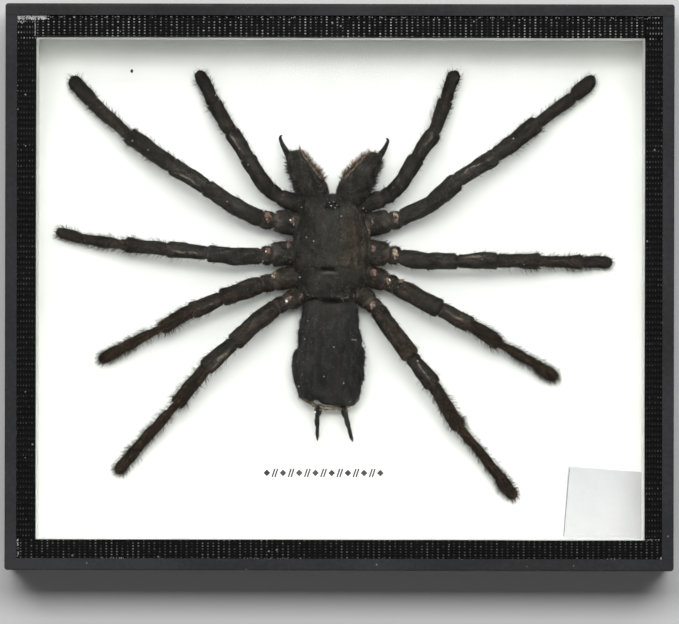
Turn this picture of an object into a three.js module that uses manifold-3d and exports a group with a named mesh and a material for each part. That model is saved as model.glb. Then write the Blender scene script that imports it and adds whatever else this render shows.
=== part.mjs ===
// Framed tarantula specimen: a glazed shadow-box frame of black painted wood, with a large
// dried tarantula spread flat on the white board inside it.
// Millimetres. The frame lies on its back: +Z points out through the glass, +Y to the frame's
// top edge and +X to the viewer's right. The origin is the middle of the back face.
import * as THREE from "three";
import { mergeVertices } from "three/addons/utils/BufferGeometryUtils.js";
import Module from "manifold-3d";

const wasm = await Module();
wasm.setup();

// ---- Driving dimensions of the frame ----
const FRAME_WIDTH = 170;
const FRAME_HEIGHT = 144;
const FRAME_DEPTH = 32;
const RAIL = 7; // a rail's width behind the glass
const RIM = 3; // the narrow wood edge that stands around the glass
const CORNER_RADIUS = 0.8;
const TAPE_THICKNESS = 0.4;
const RIM_ABOVE_TAPE = 1;
const GLASS_THICKNESS = 2;
const GLASS_CLEARANCE = 0.2;
const BACKING_FRONT = 9.5; // height of the white board's face above the frame's back face
const PANEL_THICKNESS = 2.5;
const PANEL_INSET = 1;
const CARD_THICKNESS = 0.3;

// What shows of the tape and of the white walls, from each outer edge of the frame inwards.
const TAPE_EDGE = { left: 7.8, right: 7.4, bottom: 7.8, top_left: 8.3, top_right: 8.6 };
const WALL_FACE = { left: 7.9, right: 7.5, bottom: 7.9, top: 8.6 };

// ---- Heights worked out from them ----
const HALF_WIDTH = FRAME_WIDTH / 2;
const HALF_HEIGHT = FRAME_HEIGHT / 2;
const TAPE_TOP = FRAME_DEPTH - RIM_ABOVE_TAPE;
const GLASS_TOP = TAPE_TOP - TAPE_THICKNESS;
const GLASS_BOTTOM = GLASS_TOP - GLASS_THICKNESS;
const PANEL_TOP = PANEL_INSET + PANEL_THICKNESS;

// ---- The hanger on the back ----
const HANGER = { length: 44, height: 7, thickness: 0.8, y: 55, teeth: 9, tooth_pitch: 3, tooth_depth: 1.6 };

// ---- The spider: heights here are above the white board ----
const TUBE_SIDES = 10;
const BODY_SIDES = 20;

// Body outlines down the midline: [x, y, height, half width, half thickness].
const CARAPACE = [
  [-1.9, 22.6, 6.4, 4.0, 2.2],
  [-2.1, 21.6, 6.6, 6.3, 4.0],
  [-2.1, 19.3, 6.8, 7.5, 5.4],
  [-1.8, 16.5, 6.8, 8.5, 5.7],
  [-1.7, 13.3, 6.8, 9.3, 5.8],
  [-1.9, 10.0, 6.8, 9.7, 5.8],
  [-2.0, 5.0, 6.8, 9.3, 5.6],
  [-2.3, 1.3, 6.6, 8.4, 5.2],
  [-2.1, -1.0, 6.2, 7.2, 4.4],
  [-2.1, -3.2, 5.8, 4.6, 2.6],
];
const ABDOMEN = [
  [-2.6, -3.9, 5.6, 3.6, 2.2],
  [-2.5, -4.9, 5.6, 6.4, 4.0],
  [-2.4, -8.1, 5.6, 7.1, 5.1],
  [-2.6, -12.3, 5.7, 7.7, 5.5],
  [-2.3, -16.4, 5.7, 8.7, 5.6],
  [-2.8, -20.5, 5.6, 8.9, 5.5],
  [-2.6, -25.1, 5.4, 8.0, 5.2],
  [-2.0, -27.6, 5.2, 7.1, 4.4],
  [-1.7, -29.6, 5.0, 4.8, 3.2],
  [-1.6, -31.2, 4.9, 1.8, 1.4],
];
const CHELICERA_LEFT = [
  [-6.2, 23.6, 6.6, 3.2, 2.6],
  [-7.6, 25.8, 7.0, 3.5, 3.6],
  [-9.2, 28.8, 7.2, 3.1, 4.0],
  [-10.7, 31.6, 6.8, 2.6, 3.5],
  [-11.5, 33.6, 6.2, 1.8, 2.6],
  [-11.8, 34.4, 5.9, 1.1, 1.6],
];
const CHELICERA_RIGHT = [
  [2.8, 23.6, 6.6, 3.2, 2.6],
  [4.2, 25.9, 7.0, 3.5, 3.6],
  [6.0, 28.8, 7.2, 3.1, 4.0],
  [7.7, 31.3, 6.8, 2.6, 3.5],
  [8.7, 33.1, 6.2, 1.8, 2.6],
  [9.1, 33.9, 5.9, 1.1, 1.6],
];
const FANG_LEFT = [
  [-13.3, 34.1, 5.0, 0.7, 0.75],
  [-14.3, 35.9, 4.4, 0.6, 0.65],
  [-15.0, 37.4, 3.8, 0.5, 0.55],
  [-15.2, 38.6, 3.1, 0.3, 0.35],
];
const FANG_RIGHT = [
  [10.2, 33.8, 5.0, 0.7, 0.75],
  [11.2, 35.4, 4.4, 0.6, 0.65],
  [11.9, 36.8, 3.8, 0.5, 0.55],
  [12.1, 37.8, 3.1, 0.3, 0.35],
];
const SPINNERET_LEFT = [
  [-5.3, -31.9, 4.6, 0.8, 0.8],
  [-5.6, -34.9, 5.0, 0.6, 0.6],
  [-5.6, -37.2, 5.0, 0.45, 0.45],
  [-5.6, -39.1, 5.0, 0.25, 0.25],
];
const SPINNERET_RIGHT = [
  [1.3, -31.9, 4.6, 0.8, 0.8],
  [2.2, -35.2, 5.0, 0.65, 0.65],
  [2.8, -37.3, 5.0, 0.5, 0.5],
  [3.4, -39.3, 5.0, 0.3, 0.3],
];

// Limbs, from the body outwards: the root, then each joint as [x, y, height], and the radius of
// the stretch that ends there. A leg's stretches are coxa, trochanter, the femur in two,
// patella, tibia, metatarsus and tarsus. A palp has the same without a metatarsus.
const LIMBS = {
  palp_left: {
    root: [-11.9, 22.2, 5.6],
    stretches: [
      [[-15.6, 23.3, 6.2], 1.4], [[-18.2, 24.9, 7.0], 1.6], [[-20.9, 28.2, 8.5], 1.8], [[-23.5, 33.1, 8.5], 1.8],
      [[-27.9, 39.8, 6.5], 1.65], [[-32.3, 47.0, 4.0], 1.6], [[-36.1, 55.2, 2.0], 1.5],
    ],
  },
  palp_right: {
    root: [8.8, 22.4, 5.6],
    stretches: [
      [[10.9, 23.0, 6.2], 1.4], [[13.3, 24.1, 7.0], 1.6], [[15.8, 26.8, 8.5], 1.8], [[19.7, 33.2, 8.5], 1.8],
      [[24.1, 39.6, 6.5], 1.7], [[27.1, 47.9, 4.0], 1.7], [[29.4, 55.4, 2.0], 1.5],
    ],
  },
  leg_1_left: {
    root: [-11.2, 16.3, 6.0],
    stretches: [
      [[-16.6, 17.0, 6.0], 2.7], [[-19.9, 17.3, 6.5], 2.0], [[-27.9, 21.2, 9.0], 2.2], [[-34.0, 25.6, 10.0], 2.1],
      [[-42.9, 31.0, 9.0], 2.0], [[-54.1, 38.9, 6.0], 2.0], [[-63.4, 47.2, 3.2], 1.6], [[-68.7, 53.4, 1.6], 1.7],
    ],
  },
  leg_1_right: {
    root: [7.7, 16.4, 6.0],
    stretches: [
      [[12.7, 17.1, 6.0], 2.7], [[15.5, 17.4, 6.5], 2.0], [[23.3, 21.4, 9.0], 2.1], [[30.0, 27.3, 10.0], 2.1],
      [[39.7, 33.7, 9.0], 1.9], [[50.5, 42.1, 6.0], 2.0], [[59.6, 48.8, 3.2], 1.5], [[65.2, 54.1, 1.6], 1.6],
    ],
  },
  leg_2_left: {
    root: [-12.2, 8.7, 6.0],
    stretches: [
      [[-17.3, 8.3, 6.0], 2.8], [[-19.9, 8.0, 6.5], 2.0], [[-27.1, 7.8, 9.0], 2.1], [[-33.7, 8.8, 10.0], 2.0],
      [[-44.0, 9.7, 8.5], 1.9], [[-54.5, 10.8, 5.5], 1.6], [[-65.9, 12.2, 2.8], 1.45], [[-72.5, 14.2, 1.4], 1.4],
    ],
  },
  leg_2_right: {
    root: [8.6, 9.0, 6.0],
    stretches: [
      [[12.4, 8.5, 6.0], 2.8], [[15.2, 7.8, 6.5], 2.0], [[21.9, 6.6, 9.0], 2.1], [[30.0, 6.8, 10.0], 2.0],
      [[40.3, 6.9, 8.5], 1.9], [[51.1, 6.8, 5.5], 1.75], [[62.3, 6.6, 2.8], 1.4], [[69.7, 6.7, 1.4], 1.35],
    ],
  },
  leg_3_left: {
    root: [-11.9, 2.6, 6.0],
    stretches: [
      [[-16.6, 1.5, 6.0], 2.4], [[-19.9, 0.7, 6.5], 2.0], [[-25.2, -0.9, 9.0], 2.2], [[-30.1, -2.8, 9.5], 2.1],
      [[-37.8, -6.1, 8.0], 1.9], [[-45.7, -10.5, 5.0], 1.8], [[-55.0, -15.4, 2.6], 1.2], [[-61.3, -18.9, 1.4], 1.4],
    ],
  },
  leg_3_right: {
    root: [8.2, 2.7, 6.0],
    stretches: [
      [[11.9, 1.6, 6.0], 2.4], [[14.2, 0.6, 6.5], 2.0], [[19.9, -2.5, 9.0], 2.2], [[25.7, -5.5, 9.5], 2.1],
      [[33.5, -9.4, 8.0], 1.9], [[40.9, -14.3, 5.0], 1.9], [[49.8, -19.4, 2.6], 1.25], [[55.6, -23.1, 1.4], 1.45],
    ],
  },
  leg_4_left: {
    root: [-10.6, -2.8, 5.6],
    stretches: [
      [[-13.7, -4.0, 5.8], 2.0], [[-16.1, -5.0, 6.5], 1.9], [[-21.3, -8.8, 9.5], 2.2], [[-27.0, -14.3, 10.0], 2.1],
      [[-34.2, -20.7, 8.5], 1.9], [[-41.7, -30.0, 5.5], 1.9], [[-52.0, -41.6, 2.8], 1.3], [[-56.8, -47.3, 1.4], 1.4],
    ],
  },
  leg_4_right: {
    root: [6.2, -2.7, 5.6],
    stretches: [
      [[8.0, -4.0, 5.8], 2.0], [[9.4, -5.4, 6.5], 1.9], [[13.4, -10.9, 9.5], 2.2], [[18.3, -17.7, 10.0], 2.1],
      [[24.0, -24.9, 8.5], 1.9], [[30.7, -35.8, 5.5], 2.0], [[40.8, -48.1, 2.8], 1.3], [[44.9, -54.0, 1.4], 1.5],
    ],
  },
};
// Along one stretch: where its rings stand, and how full it is there.
const STRETCH_RINGS = [[0.15, 0.93], [0.5, 1], [0.85, 0.93]];
const JOINT_WAIST = 0.8; // how full a limb is at a joint
const LIMB_FLATTENING = 0.92;
const TIP_FULLNESS = 0.55;

// ---- Finishes ----
const FINISH = {
  painted_wood: { color: 0x34353a, roughness: 0.55, metalness: 0 },
  tape: { color: 0x17171a, roughness: 0.5, metalness: 0 },
  glass: { color: 0xf4f7f7, roughness: 0.05, metalness: 0 },
  white_board: { color: 0xf6f6f4, roughness: 0.9, metalness: 0 },
  card: { color: 0xe9e8ea, roughness: 0.8, metalness: 0 },
  hardboard: { color: 0x7a5c40, roughness: 0.8, metalness: 0 },
  steel: { color: 0xa9abad, roughness: 0.35, metalness: 1 },
  cuticle: { color: 0x39332c, roughness: 0.7, metalness: 0 },
  velvet: { color: 0x3a3733, roughness: 0.95, metalness: 0 },
  fang: { color: 0x0f0c0b, roughness: 0.2, metalness: 0 },
};

const specimen_frame = new THREE.Group();

function add(name, geometry, finish, parent = specimen_frame) {
  const mesh = new THREE.Mesh(geometry, new THREE.MeshStandardMaterial(FINISH[finish]));
  mesh.name = name;
  parent.add(mesh);
  return mesh;
}

// ---- Solids ----

// A three.js geometry as a manifold-3d solid, its corners shared.
function toSolid(geometry) {
  const bare = geometry.index ? geometry.clone() : geometry;
  bare.deleteAttribute("normal");
  bare.deleteAttribute("uv");
  const merged = mergeVertices(bare);
  const vertProperties = new Float32Array(merged.attributes.position.array);
  const triVerts = new Uint32Array(merged.index.array);
  return new wasm.Manifold(new wasm.Mesh({ numProp: 3, vertProperties, triVerts }));
}

function toGeometry(solid) {
  const { vertProperties, triVerts } = solid.getMesh();
  const geometry = new THREE.BufferGeometry();
  geometry.setAttribute("position", new THREE.BufferAttribute(vertProperties, 3));
  geometry.setIndex(new THREE.BufferAttribute(triVerts, 1));
  return geometry;
}

// A flat plate of the given outline, between two heights.
function plate(outline, low, high) {
  const geometry = new THREE.ExtrudeGeometry(outline, { depth: high - low, bevelEnabled: false, curveSegments: 4 });
  return geometry.translate(0, 0, low);
}

function rectangle(x0, y0, x1, y1) {
  return polygon([[x0, y0], [x1, y0], [x1, y1], [x0, y1]]);
}

function polygon(points) {
  return new THREE.Shape(points.map(([x, y]) => new THREE.Vector2(x, y)));
}

// The outline of a top or bottom rail: its two outer corners are rounded.
function railOutline(depth, side) {
  const outer = side * HALF_HEIGHT;
  const inner = side * (HALF_HEIGHT - depth);
  const turn = outer - side * CORNER_RADIUS;
  const straight = HALF_WIDTH - CORNER_RADIUS;
  const shape = new THREE.Shape();
  shape.moveTo(-HALF_WIDTH, inner);
  shape.lineTo(HALF_WIDTH, inner);
  shape.lineTo(HALF_WIDTH, turn);
  shape.absarc(straight, turn, CORNER_RADIUS, 0, side * Math.PI / 2, side < 0);
  shape.lineTo(-straight, outer);
  shape.absarc(-straight, turn, CORNER_RADIUS, side * Math.PI / 2, side * Math.PI, side < 0);
  shape.closePath();
  return shape;
}

// A rail is its full width behind the glass and steps back to the rim beside and above it.
function crossRail(side) {
  const behind = toSolid(plate(railOutline(RAIL, side), 0, GLASS_BOTTOM));
  const rim = toSolid(plate(railOutline(RIM, side), GLASS_BOTTOM, FRAME_DEPTH));
  return toGeometry(behind.add(rim));
}

function sideRail(side) {
  const ends = HALF_HEIGHT - RAIL;
  const rimEnds = HALF_HEIGHT - RIM;
  const outer = side * HALF_WIDTH;
  const low = (depth) => Math.min(outer, outer - side * depth);
  const high = (depth) => Math.max(outer, outer - side * depth);
  const behind = toSolid(plate(rectangle(low(RAIL), -ends, high(RAIL), ends), 0, GLASS_BOTTOM));
  const rim = toSolid(plate(rectangle(low(RIM), -rimEnds, high(RIM), rimEnds), GLASS_BOTTOM, FRAME_DEPTH));
  return toGeometry(behind.add(rim));
}

// A closed tube through stations [x, y, height, half width, half thickness]: a unit cylinder
// whose rings are moved to the stations, each ring square to the way through it.
function loft(stations, sides) {
  const rings = stations.length - 1;
  const tube = new THREE.CylinderGeometry(1, 1, 1, sides, rings);
  const centres = stations.map(([x, y, height]) => new THREE.Vector3(x, y, BACKING_FRONT + height));
  const frames = centres.map((centre, i) => {
    const before = centres[Math.max(i - 1, 0)];
    const after = centres[Math.min(i + 1, rings)];
    const along = after.clone().sub(before).normalize();
    const across = along.clone().cross(new THREE.Vector3(0, 0, 1)).normalize();
    return { across, up: across.clone().cross(along) };
  });
  const position = tube.attributes.position;
  const point = new THREE.Vector3();
  for (let i = 0; i < position.count; i += 1) {
    point.fromBufferAttribute(position, i);
    const ring = Math.round((0.5 - point.y) * rings);
    const { across, up } = frames[ring];
    const [, , , halfWidth, halfThickness] = stations[ring];
    const moved = centres[ring].clone();
    moved.addScaledVector(across, -point.x * halfWidth).addScaledVector(up, point.z * halfThickness);
    position.setXYZ(i, moved.x, moved.y, moved.z);
  }
  tube.deleteAttribute("normal");
  tube.deleteAttribute("uv");
  return mergeVertices(tube);
}

// The stations of a limb: every stretch swells between two narrower joints.
function limbStations({ root, stretches }) {
  const station = (from, to, along, radius) => {
    const place = from.map((value, axis) => value + (to[axis] - value) * along);
    return [...place, radius, radius * LIMB_FLATTENING];
  };
  const stations = [[...root, stretches[0][1], stretches[0][1] * LIMB_FLATTENING]];
  let from = root;
  stretches.forEach(([to, radius], i) => {
    const last = i === stretches.length - 1;
    STRETCH_RINGS.forEach(([along, fullness]) => stations.push(station(from, to, along, radius * fullness)));
    const narrower = last ? radius * TIP_FULLNESS : JOINT_WAIST * Math.min(radius, stretches[i + 1][1]);
    stations.push(station(from, to, 1, narrower));
    from = to;
  });
  return stations;
}

// ---- The frame ----

function addRails() {
  add("rail_top", crossRail(1), "painted_wood");
  add("rail_bottom", crossRail(-1), "painted_wood");
  add("rail_left", sideRail(-1), "painted_wood");
  add("rail_right", sideRail(1), "painted_wood");
}

function addGlass() {
  const x = HALF_WIDTH - RIM - GLASS_CLEARANCE;
  const y = HALF_HEIGHT - RIM - GLASS_CLEARANCE;
  add("glass_pane", plate(rectangle(-x, -y, x, y), GLASS_BOTTOM, GLASS_TOP), "glass");
}

// The side strips reach the rim at the top, and the bottom strip runs the whole way across.
function addTape() {
  const left = -HALF_WIDTH + TAPE_EDGE.left;
  const right = HALF_WIDTH - TAPE_EDGE.right;
  const bottom = -HALF_HEIGHT + TAPE_EDGE.bottom;
  const rimX = HALF_WIDTH - RIM;
  const rimY = HALF_HEIGHT - RIM;
  const strips = {
    tape_top: [
      [left, HALF_HEIGHT - TAPE_EDGE.top_left],
      [right, HALF_HEIGHT - TAPE_EDGE.top_right],
      [right, rimY],
      [left, rimY],
    ],
    tape_bottom: [[-rimX, -rimY], [rimX, -rimY], [rimX, bottom], [-rimX, bottom]],
    tape_left: [[-rimX, bottom], [left, bottom], [left, rimY], [-rimX, rimY]],
    tape_right: [[right, bottom], [rimX, bottom], [rimX, rimY], [right, rimY]],
  };
  Object.entries(strips).forEach(([name, corners]) => {
    add(name, plate(polygon(corners), GLASS_TOP, TAPE_TOP), "tape");
  });
}

function addLinings() {
  const railX = HALF_WIDTH - RAIL;
  const railY = HALF_HEIGHT - RAIL;
  const top = HALF_HEIGHT - WALL_FACE.top;
  const bottom = -HALF_HEIGHT + WALL_FACE.bottom;
  const strips = {
    lining_top: [-railX, top, railX, railY],
    lining_bottom: [-railX, -railY, railX, bottom],
    lining_left: [-railX, bottom, -HALF_WIDTH + WALL_FACE.left, top],
    lining_right: [HALF_WIDTH - WALL_FACE.right, bottom, railX, top],
  };
  Object.entries(strips).forEach(([name, corners]) => {
    add(name, plate(rectangle(...corners), BACKING_FRONT, GLASS_BOTTOM), "white_board");
  });
}

function addBack() {
  const x = HALF_WIDTH - RAIL;
  const y = HALF_HEIGHT - RAIL;
  add("back_panel", plate(rectangle(-x, -y, x, y), PANEL_INSET, PANEL_TOP), "hardboard");
  add("backing_board", plate(rectangle(-x, -y, x, y), PANEL_TOP, BACKING_FRONT), "white_board");
}

// A small pale card lies in the lower right corner, its left edge a little out of square.
function addCard() {
  const right = HALF_WIDTH - WALL_FACE.right;
  const bottom = -HALF_HEIGHT + WALL_FACE.bottom;
  const corners = [[57.3, bottom], [right, bottom], [right, -47.2], [58.7, -45.7]];
  add("corner_card", plate(polygon(corners), BACKING_FRONT, BACKING_FRONT + CARD_THICKNESS), "card");
}

// A sawtooth hanger: a thin bar with a row of teeth along its lower edge.
function addHanger() {
  const { length, height, thickness, y, teeth, tooth_pitch, tooth_depth } = HANGER;
  const row = teeth * tooth_pitch;
  const low = y - height / 2;
  const points = [[-length / 2, y + height / 2], [-length / 2, low], [-row / 2, low]];
  for (let tooth = 0; tooth < teeth; tooth += 1) {
    const start = -row / 2 + tooth * tooth_pitch;
    points.push([start + tooth_pitch / 2, low + tooth_depth], [start + tooth_pitch, low]);
  }
  points.push([length / 2, low], [length / 2, y + height / 2]);
  add("hanger", plate(polygon(points), PANEL_INSET - thickness, PANEL_INSET), "steel");
}

// ---- The spider ----

function addSpider() {
  const spider = new THREE.Group();
  specimen_frame.add(spider);
  add("carapace", loft(CARAPACE, BODY_SIDES), "cuticle", spider);
  add("abdomen", loft(ABDOMEN, BODY_SIDES), "velvet", spider);
  add("chelicera_left", loft(CHELICERA_LEFT, TUBE_SIDES), "cuticle", spider);
  add("chelicera_right", loft(CHELICERA_RIGHT, TUBE_SIDES), "cuticle", spider);
  add("fang_left", loft(FANG_LEFT, TUBE_SIDES), "fang", spider);
  add("fang_right", loft(FANG_RIGHT, TUBE_SIDES), "fang", spider);
  add("spinneret_left", loft(SPINNERET_LEFT, TUBE_SIDES), "velvet", spider);
  add("spinneret_right", loft(SPINNERET_RIGHT, TUBE_SIDES), "velvet", spider);
  Object.entries(LIMBS).forEach(([name, limb]) => {
    add(name, loft(limbStations(limb), TUBE_SIDES), "cuticle", spider);
  });
}

addRails();
addGlass();
addTape();
addLinings();
addBack();
addCard();
addHanger();
addSpider();

export default specimen_frame;
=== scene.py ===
import math

import bmesh
import bpy
import numpy as np
from mathutils import Matrix, Vector, noise


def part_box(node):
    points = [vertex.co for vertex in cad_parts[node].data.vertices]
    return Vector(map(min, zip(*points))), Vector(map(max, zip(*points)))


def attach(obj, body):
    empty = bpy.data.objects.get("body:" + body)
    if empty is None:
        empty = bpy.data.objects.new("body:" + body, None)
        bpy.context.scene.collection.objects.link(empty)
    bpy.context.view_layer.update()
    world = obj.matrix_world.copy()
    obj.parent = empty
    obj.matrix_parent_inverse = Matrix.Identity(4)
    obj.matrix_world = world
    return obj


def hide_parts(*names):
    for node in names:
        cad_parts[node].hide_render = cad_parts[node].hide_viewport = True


# A framed tarantula: a glazed black shadow-box frame lying on its back, with a large dried
# tarantula spread flat on the white board inside it. Lengths below are in millimetres.
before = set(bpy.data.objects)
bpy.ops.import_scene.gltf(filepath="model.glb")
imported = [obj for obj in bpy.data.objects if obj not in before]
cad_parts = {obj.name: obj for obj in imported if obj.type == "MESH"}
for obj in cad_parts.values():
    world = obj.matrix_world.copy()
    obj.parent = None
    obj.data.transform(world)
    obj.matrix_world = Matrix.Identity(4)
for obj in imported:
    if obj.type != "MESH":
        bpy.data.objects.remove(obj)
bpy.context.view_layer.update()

MM = 0.001
TURN = 2 * math.pi
DOWN = Vector((0, 0, -1))
BODY = "root"


def mm(*values):
    """A point given in millimetres, in metres."""
    return Vector(values) * MM


def clamp(value):
    return max(0.0, min(1.0, value))


def top_of(node):
    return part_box(node)[1].z / MM


BOARD_TOP = top_of("backing_board")
GLASS_TOP = top_of("glass_pane")
FRAME_TOP = top_of("rail_top")
HALF_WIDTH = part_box("rail_top")[1].x / MM
HALF_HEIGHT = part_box("rail_top")[1].y / MM
RIM = 3.0  # the rails' bare front, outside the tape
RIM_X = HALF_WIDTH - RIM
RIM_Y = HALF_HEIGHT - RIM


# ---------------------------------------------------------------- shader graphs

class Graph:
    """A node tree, with short ways to add its nodes and join them."""

    def __init__(self, tree):
        self.tree = tree

    def add(self, kind, inputs=None, **settings):
        node = self.tree.nodes.new(kind)
        for name, value in settings.items():
            setattr(node, name, value)
        for name, value in (inputs or {}).items():
            self.put(node.inputs[name], value)
        return node

    def put(self, socket, value):
        """Joins a value to a socket or sets it there. A colour is three numbers."""
        if isinstance(value, bpy.types.NodeSocket):
            self.tree.links.new(value, socket)
        else:
            socket.default_value = (*value, 1.0) if socket.type == "RGBA" else value

    def noise(self, scale, detail, roughness, vector):
        sockets = {"Scale": scale, "Detail": detail, "Roughness": roughness, "Vector": vector}
        return self.add("ShaderNodeTexNoise", sockets).outputs["Fac"]

    def math(self, operation, a, b=0.0):
        return self.add("ShaderNodeMath", {0: a, 1: b}, operation=operation).outputs[0]

    def times(self, a, b):
        return self.math("MULTIPLY", a, b)

    def span(self, value, low, high, to_low=0.0, to_high=1.0, smooth=True):
        """value, spread from low..high to to_low..to_high and held at both ends."""
        kind = "SMOOTHSTEP" if smooth else "LINEAR"
        sockets = {"Value": value, "From Min": low, "From Max": high, "To Min": to_low, "To Max": to_high}
        return self.add("ShaderNodeMapRange", sockets, interpolation_type=kind).outputs["Result"]

    def patches(self, place, scale, detail, roughness, *spread):
        """Soft patches of noise, as a mask."""
        return self.span(self.noise(scale, detail, roughness, place), *spread)

    def mix(self, factor, a, b):
        node = self.add("ShaderNodeMix", data_type="RGBA")
        self.put(node.inputs["Factor"], factor)
        self.put(node.inputs["A"], a)
        self.put(node.inputs["B"], b)
        return node.outputs["Result"]

    def attribute(self, name):
        return self.add("ShaderNodeAttribute", attribute_name=name).outputs["Fac"]

    def place(self):
        return self.add("ShaderNodeTexCoord").outputs["Object"]

    def stretched(self, vector, scale):
        return self.add("ShaderNodeMapping", {"Vector": vector, "Scale": scale}).outputs["Vector"]

    def split(self, vector):
        return self.add("ShaderNodeSeparateXYZ", {"Vector": vector}).outputs

    def bump(self, height, distance, strength):
        """The normal of a surface that rises by up to distance, in millimetres."""
        sockets = {"Height": height, "Distance": distance * MM, "Strength": strength}
        return self.add("ShaderNodeBump", sockets).outputs["Normal"]

    def use(self, group, *values):
        """A shared group, with its inputs in order."""
        return self.add("ShaderNodeGroup", dict(enumerate(values)), node_tree=group).outputs

    def mottle(self, light, dark, patch, grain):
        return self.use(MOTTLE, light, dark, patch, grain)

    def dust(self, scale, size, amount):
        return self.use(DUST, scale, size, amount)[0]

    def band(self, value, centre, half_width):
        return self.use(BAND, value, centre, half_width)[0]

    def spot(self, x, y, centre_x, centre_y, half_x, half_y):
        """A soft spot as a mask, with its centre and reach in millimetres."""
        by_x = self.band(x, centre_x * MM, half_x * MM)
        by_y = self.band(y, centre_y * MM, half_y * MM)
        return self.times(by_x, by_y)


def new_group(name, inputs, outputs):
    """An empty shader node group with the named sockets, and its graph, inputs and output node."""
    group = bpy.data.node_groups.new(name, "ShaderNodeTree")
    for label, kind, value in inputs:
        socket = group.interface.new_socket(label, in_out="INPUT", socket_type="NodeSocket" + kind)
        socket.default_value = value
    for label, kind in outputs:
        group.interface.new_socket(label, in_out="OUTPUT", socket_type="NodeSocket" + kind)
    graph = Graph(group)
    return group, graph, graph.add("NodeGroupInput").outputs, graph.add("NodeGroupOutput").inputs


def mottle_group():
    """Two colours that run into each other in soft patches, with a finer broken grain over them."""
    group, g, given, out = new_group(
        "mottle",
        [("Light", "Color", (1, 1, 1, 1)), ("Dark", "Color", (0, 0, 0, 1)),
         ("Patch", "Float", 100.0), ("Grain", "Float", 1500.0)],
        [("Color", "Color"), ("Height", "Float")],
    )
    place = g.place()
    patch = g.noise(given["Patch"], 4.0, 0.6, place)
    grain = g.noise(given["Grain"], 2.0, 0.6, place)
    both = g.math("ADD", g.times(patch, 0.65), g.times(grain, 0.35))
    g.put(out["Color"], g.mix(g.span(both, 0.36, 0.64), given["Dark"], given["Light"]))
    g.put(out["Height"], grain)
    return group


def dust_group():
    """Scattered fine specks, as a mask: dust that has settled on a surface."""
    group, g, given, out = new_group(
        "dust",
        [("Scale", "Float", 600.0), ("Size", "Float", 0.12), ("Amount", "Float", 0.3)],
        [("Mask", "Float")],
    )
    place = g.place()
    cells = g.add("ShaderNodeTexVoronoi", {"Vector": place, "Scale": given["Scale"]})
    near = g.math("LESS_THAN", cells.outputs["Distance"], given["Size"])
    chosen = g.math("LESS_THAN", g.split(cells.outputs["Color"])[0], given["Amount"])
    g.put(out["Mask"], g.times(near, chosen))
    return group


def stripe_group():
    """A soft band where a value lies near a centre, as a mask."""
    group, g, given, out = new_group(
        "band",
        [("Value", "Float", 0.0), ("Centre", "Float", 0.0), ("Half width", "Float", 0.1)],
        [("Mask", "Float")],
    )
    away = g.math("ABSOLUTE", g.math("SUBTRACT", given["Value"], given["Centre"]))
    share = g.math("DIVIDE", away, given["Half width"])
    g.put(out["Mask"], g.span(share, 1.0, 0.4))
    return group


MOTTLE = mottle_group()
DUST = dust_group()
BAND = stripe_group()


def new_material(name):
    """A material with only a Principled shader, its graph and the shader's inputs."""
    made = bpy.data.materials.new(name)
    made.use_nodes = True
    graph = Graph(made.node_tree)
    return made, graph, made.node_tree.nodes["Principled BSDF"].inputs


def mottled(name, light, dark, patch, grain, roughness):
    """A new material in two mottled colours. The mottle is given too."""
    made, g, out = new_material(name)
    tone = g.mottle(light, dark, patch, grain)
    g.put(out["Base Color"], tone["Color"])
    g.put(out["Roughness"], roughness)
    return made, g, out, tone


# ---------------------------------------------------------------- materials of the frame

def black_paint():
    """Satin black paint with brush strokes, a little dust, and paler chips along the edges. A paler strip
    along the top rail's outer edge is partly the paint's own colour and partly painted highlight, where
    that edge faces the lamp.
    """
    made, g, out = new_material("black_paint")
    place = g.place()
    x, y, z = g.split(place)
    tone = g.mottle((0.056, 0.0565, 0.059), (0.037, 0.0374, 0.0392), 45.0, 900.0)

    def outside(half_width, half_height):
        """How far a place lies outside a rectangle round the middle."""
        past_x = g.math("SUBTRACT", g.math("ABSOLUTE", x), half_width * MM)
        past_y = g.math("SUBTRACT", g.math("ABSOLUTE", y), half_height * MM)
        return g.math("MAXIMUM", past_x, past_y)

    by_outer = g.span(outside(HALF_WIDTH, HALF_HEIGHT), -0.5 * MM, 0.0)
    by_inner = g.span(g.math("ABSOLUTE", outside(RIM_X, RIM_Y)), 0.35 * MM, 0.0)
    front = g.span(z, (FRAME_TOP - 0.6) * MM, FRAME_TOP * MM)
    edge = g.times(g.math("MAXIMUM", by_outer, by_inner), front)
    chips = g.patches(place, 1400.0, 3.0, 0.7, 0.58, 0.68)
    worn = g.times(edge, chips)
    dusty = g.dust(420.0, 0.1, 0.12)
    # partly painted highlight: the top rail's outer edge is painted paler, as where it faces the lamp
    pale_lit_top_edge = g.times(g.span(y, (HALF_HEIGHT - 1.1) * MM, (HALF_HEIGHT - 0.4) * MM), front)
    pale_lit_top_edge = g.times(pale_lit_top_edge, g.patches(place, 120.0, 4.0, 0.7, 0.3, 0.6))
    paler = g.mix(g.times(pale_lit_top_edge, 0.55), tone["Color"], (0.085, 0.085, 0.068))
    bare = g.mix(g.times(worn, 0.5), paler, (0.28, 0.27, 0.25))
    g.put(out["Base Color"], g.mix(g.times(dusty, 0.5), bare, (0.4, 0.4, 0.39)))
    g.put(out["Roughness"], g.patches(place, 180.0, 4.0, 0.6, 0.3, 0.7, 0.6, 0.8))
    g.put(out["Specular IOR Level"], 0.1)
    strokes = g.noise(260.0, 4.0, 0.6, g.stretched(place, (1.0, 1.0, 3.0)))
    height = g.math("ADD", strokes, g.times(tone["Height"], 0.35))
    g.put(out["Normal"], g.bump(height, 0.12, 0.5))
    return made


RIB_LENGTH = 1.36  # the tape's ribs, along the strip and across it
RIB_WIDTH = 0.72


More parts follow.
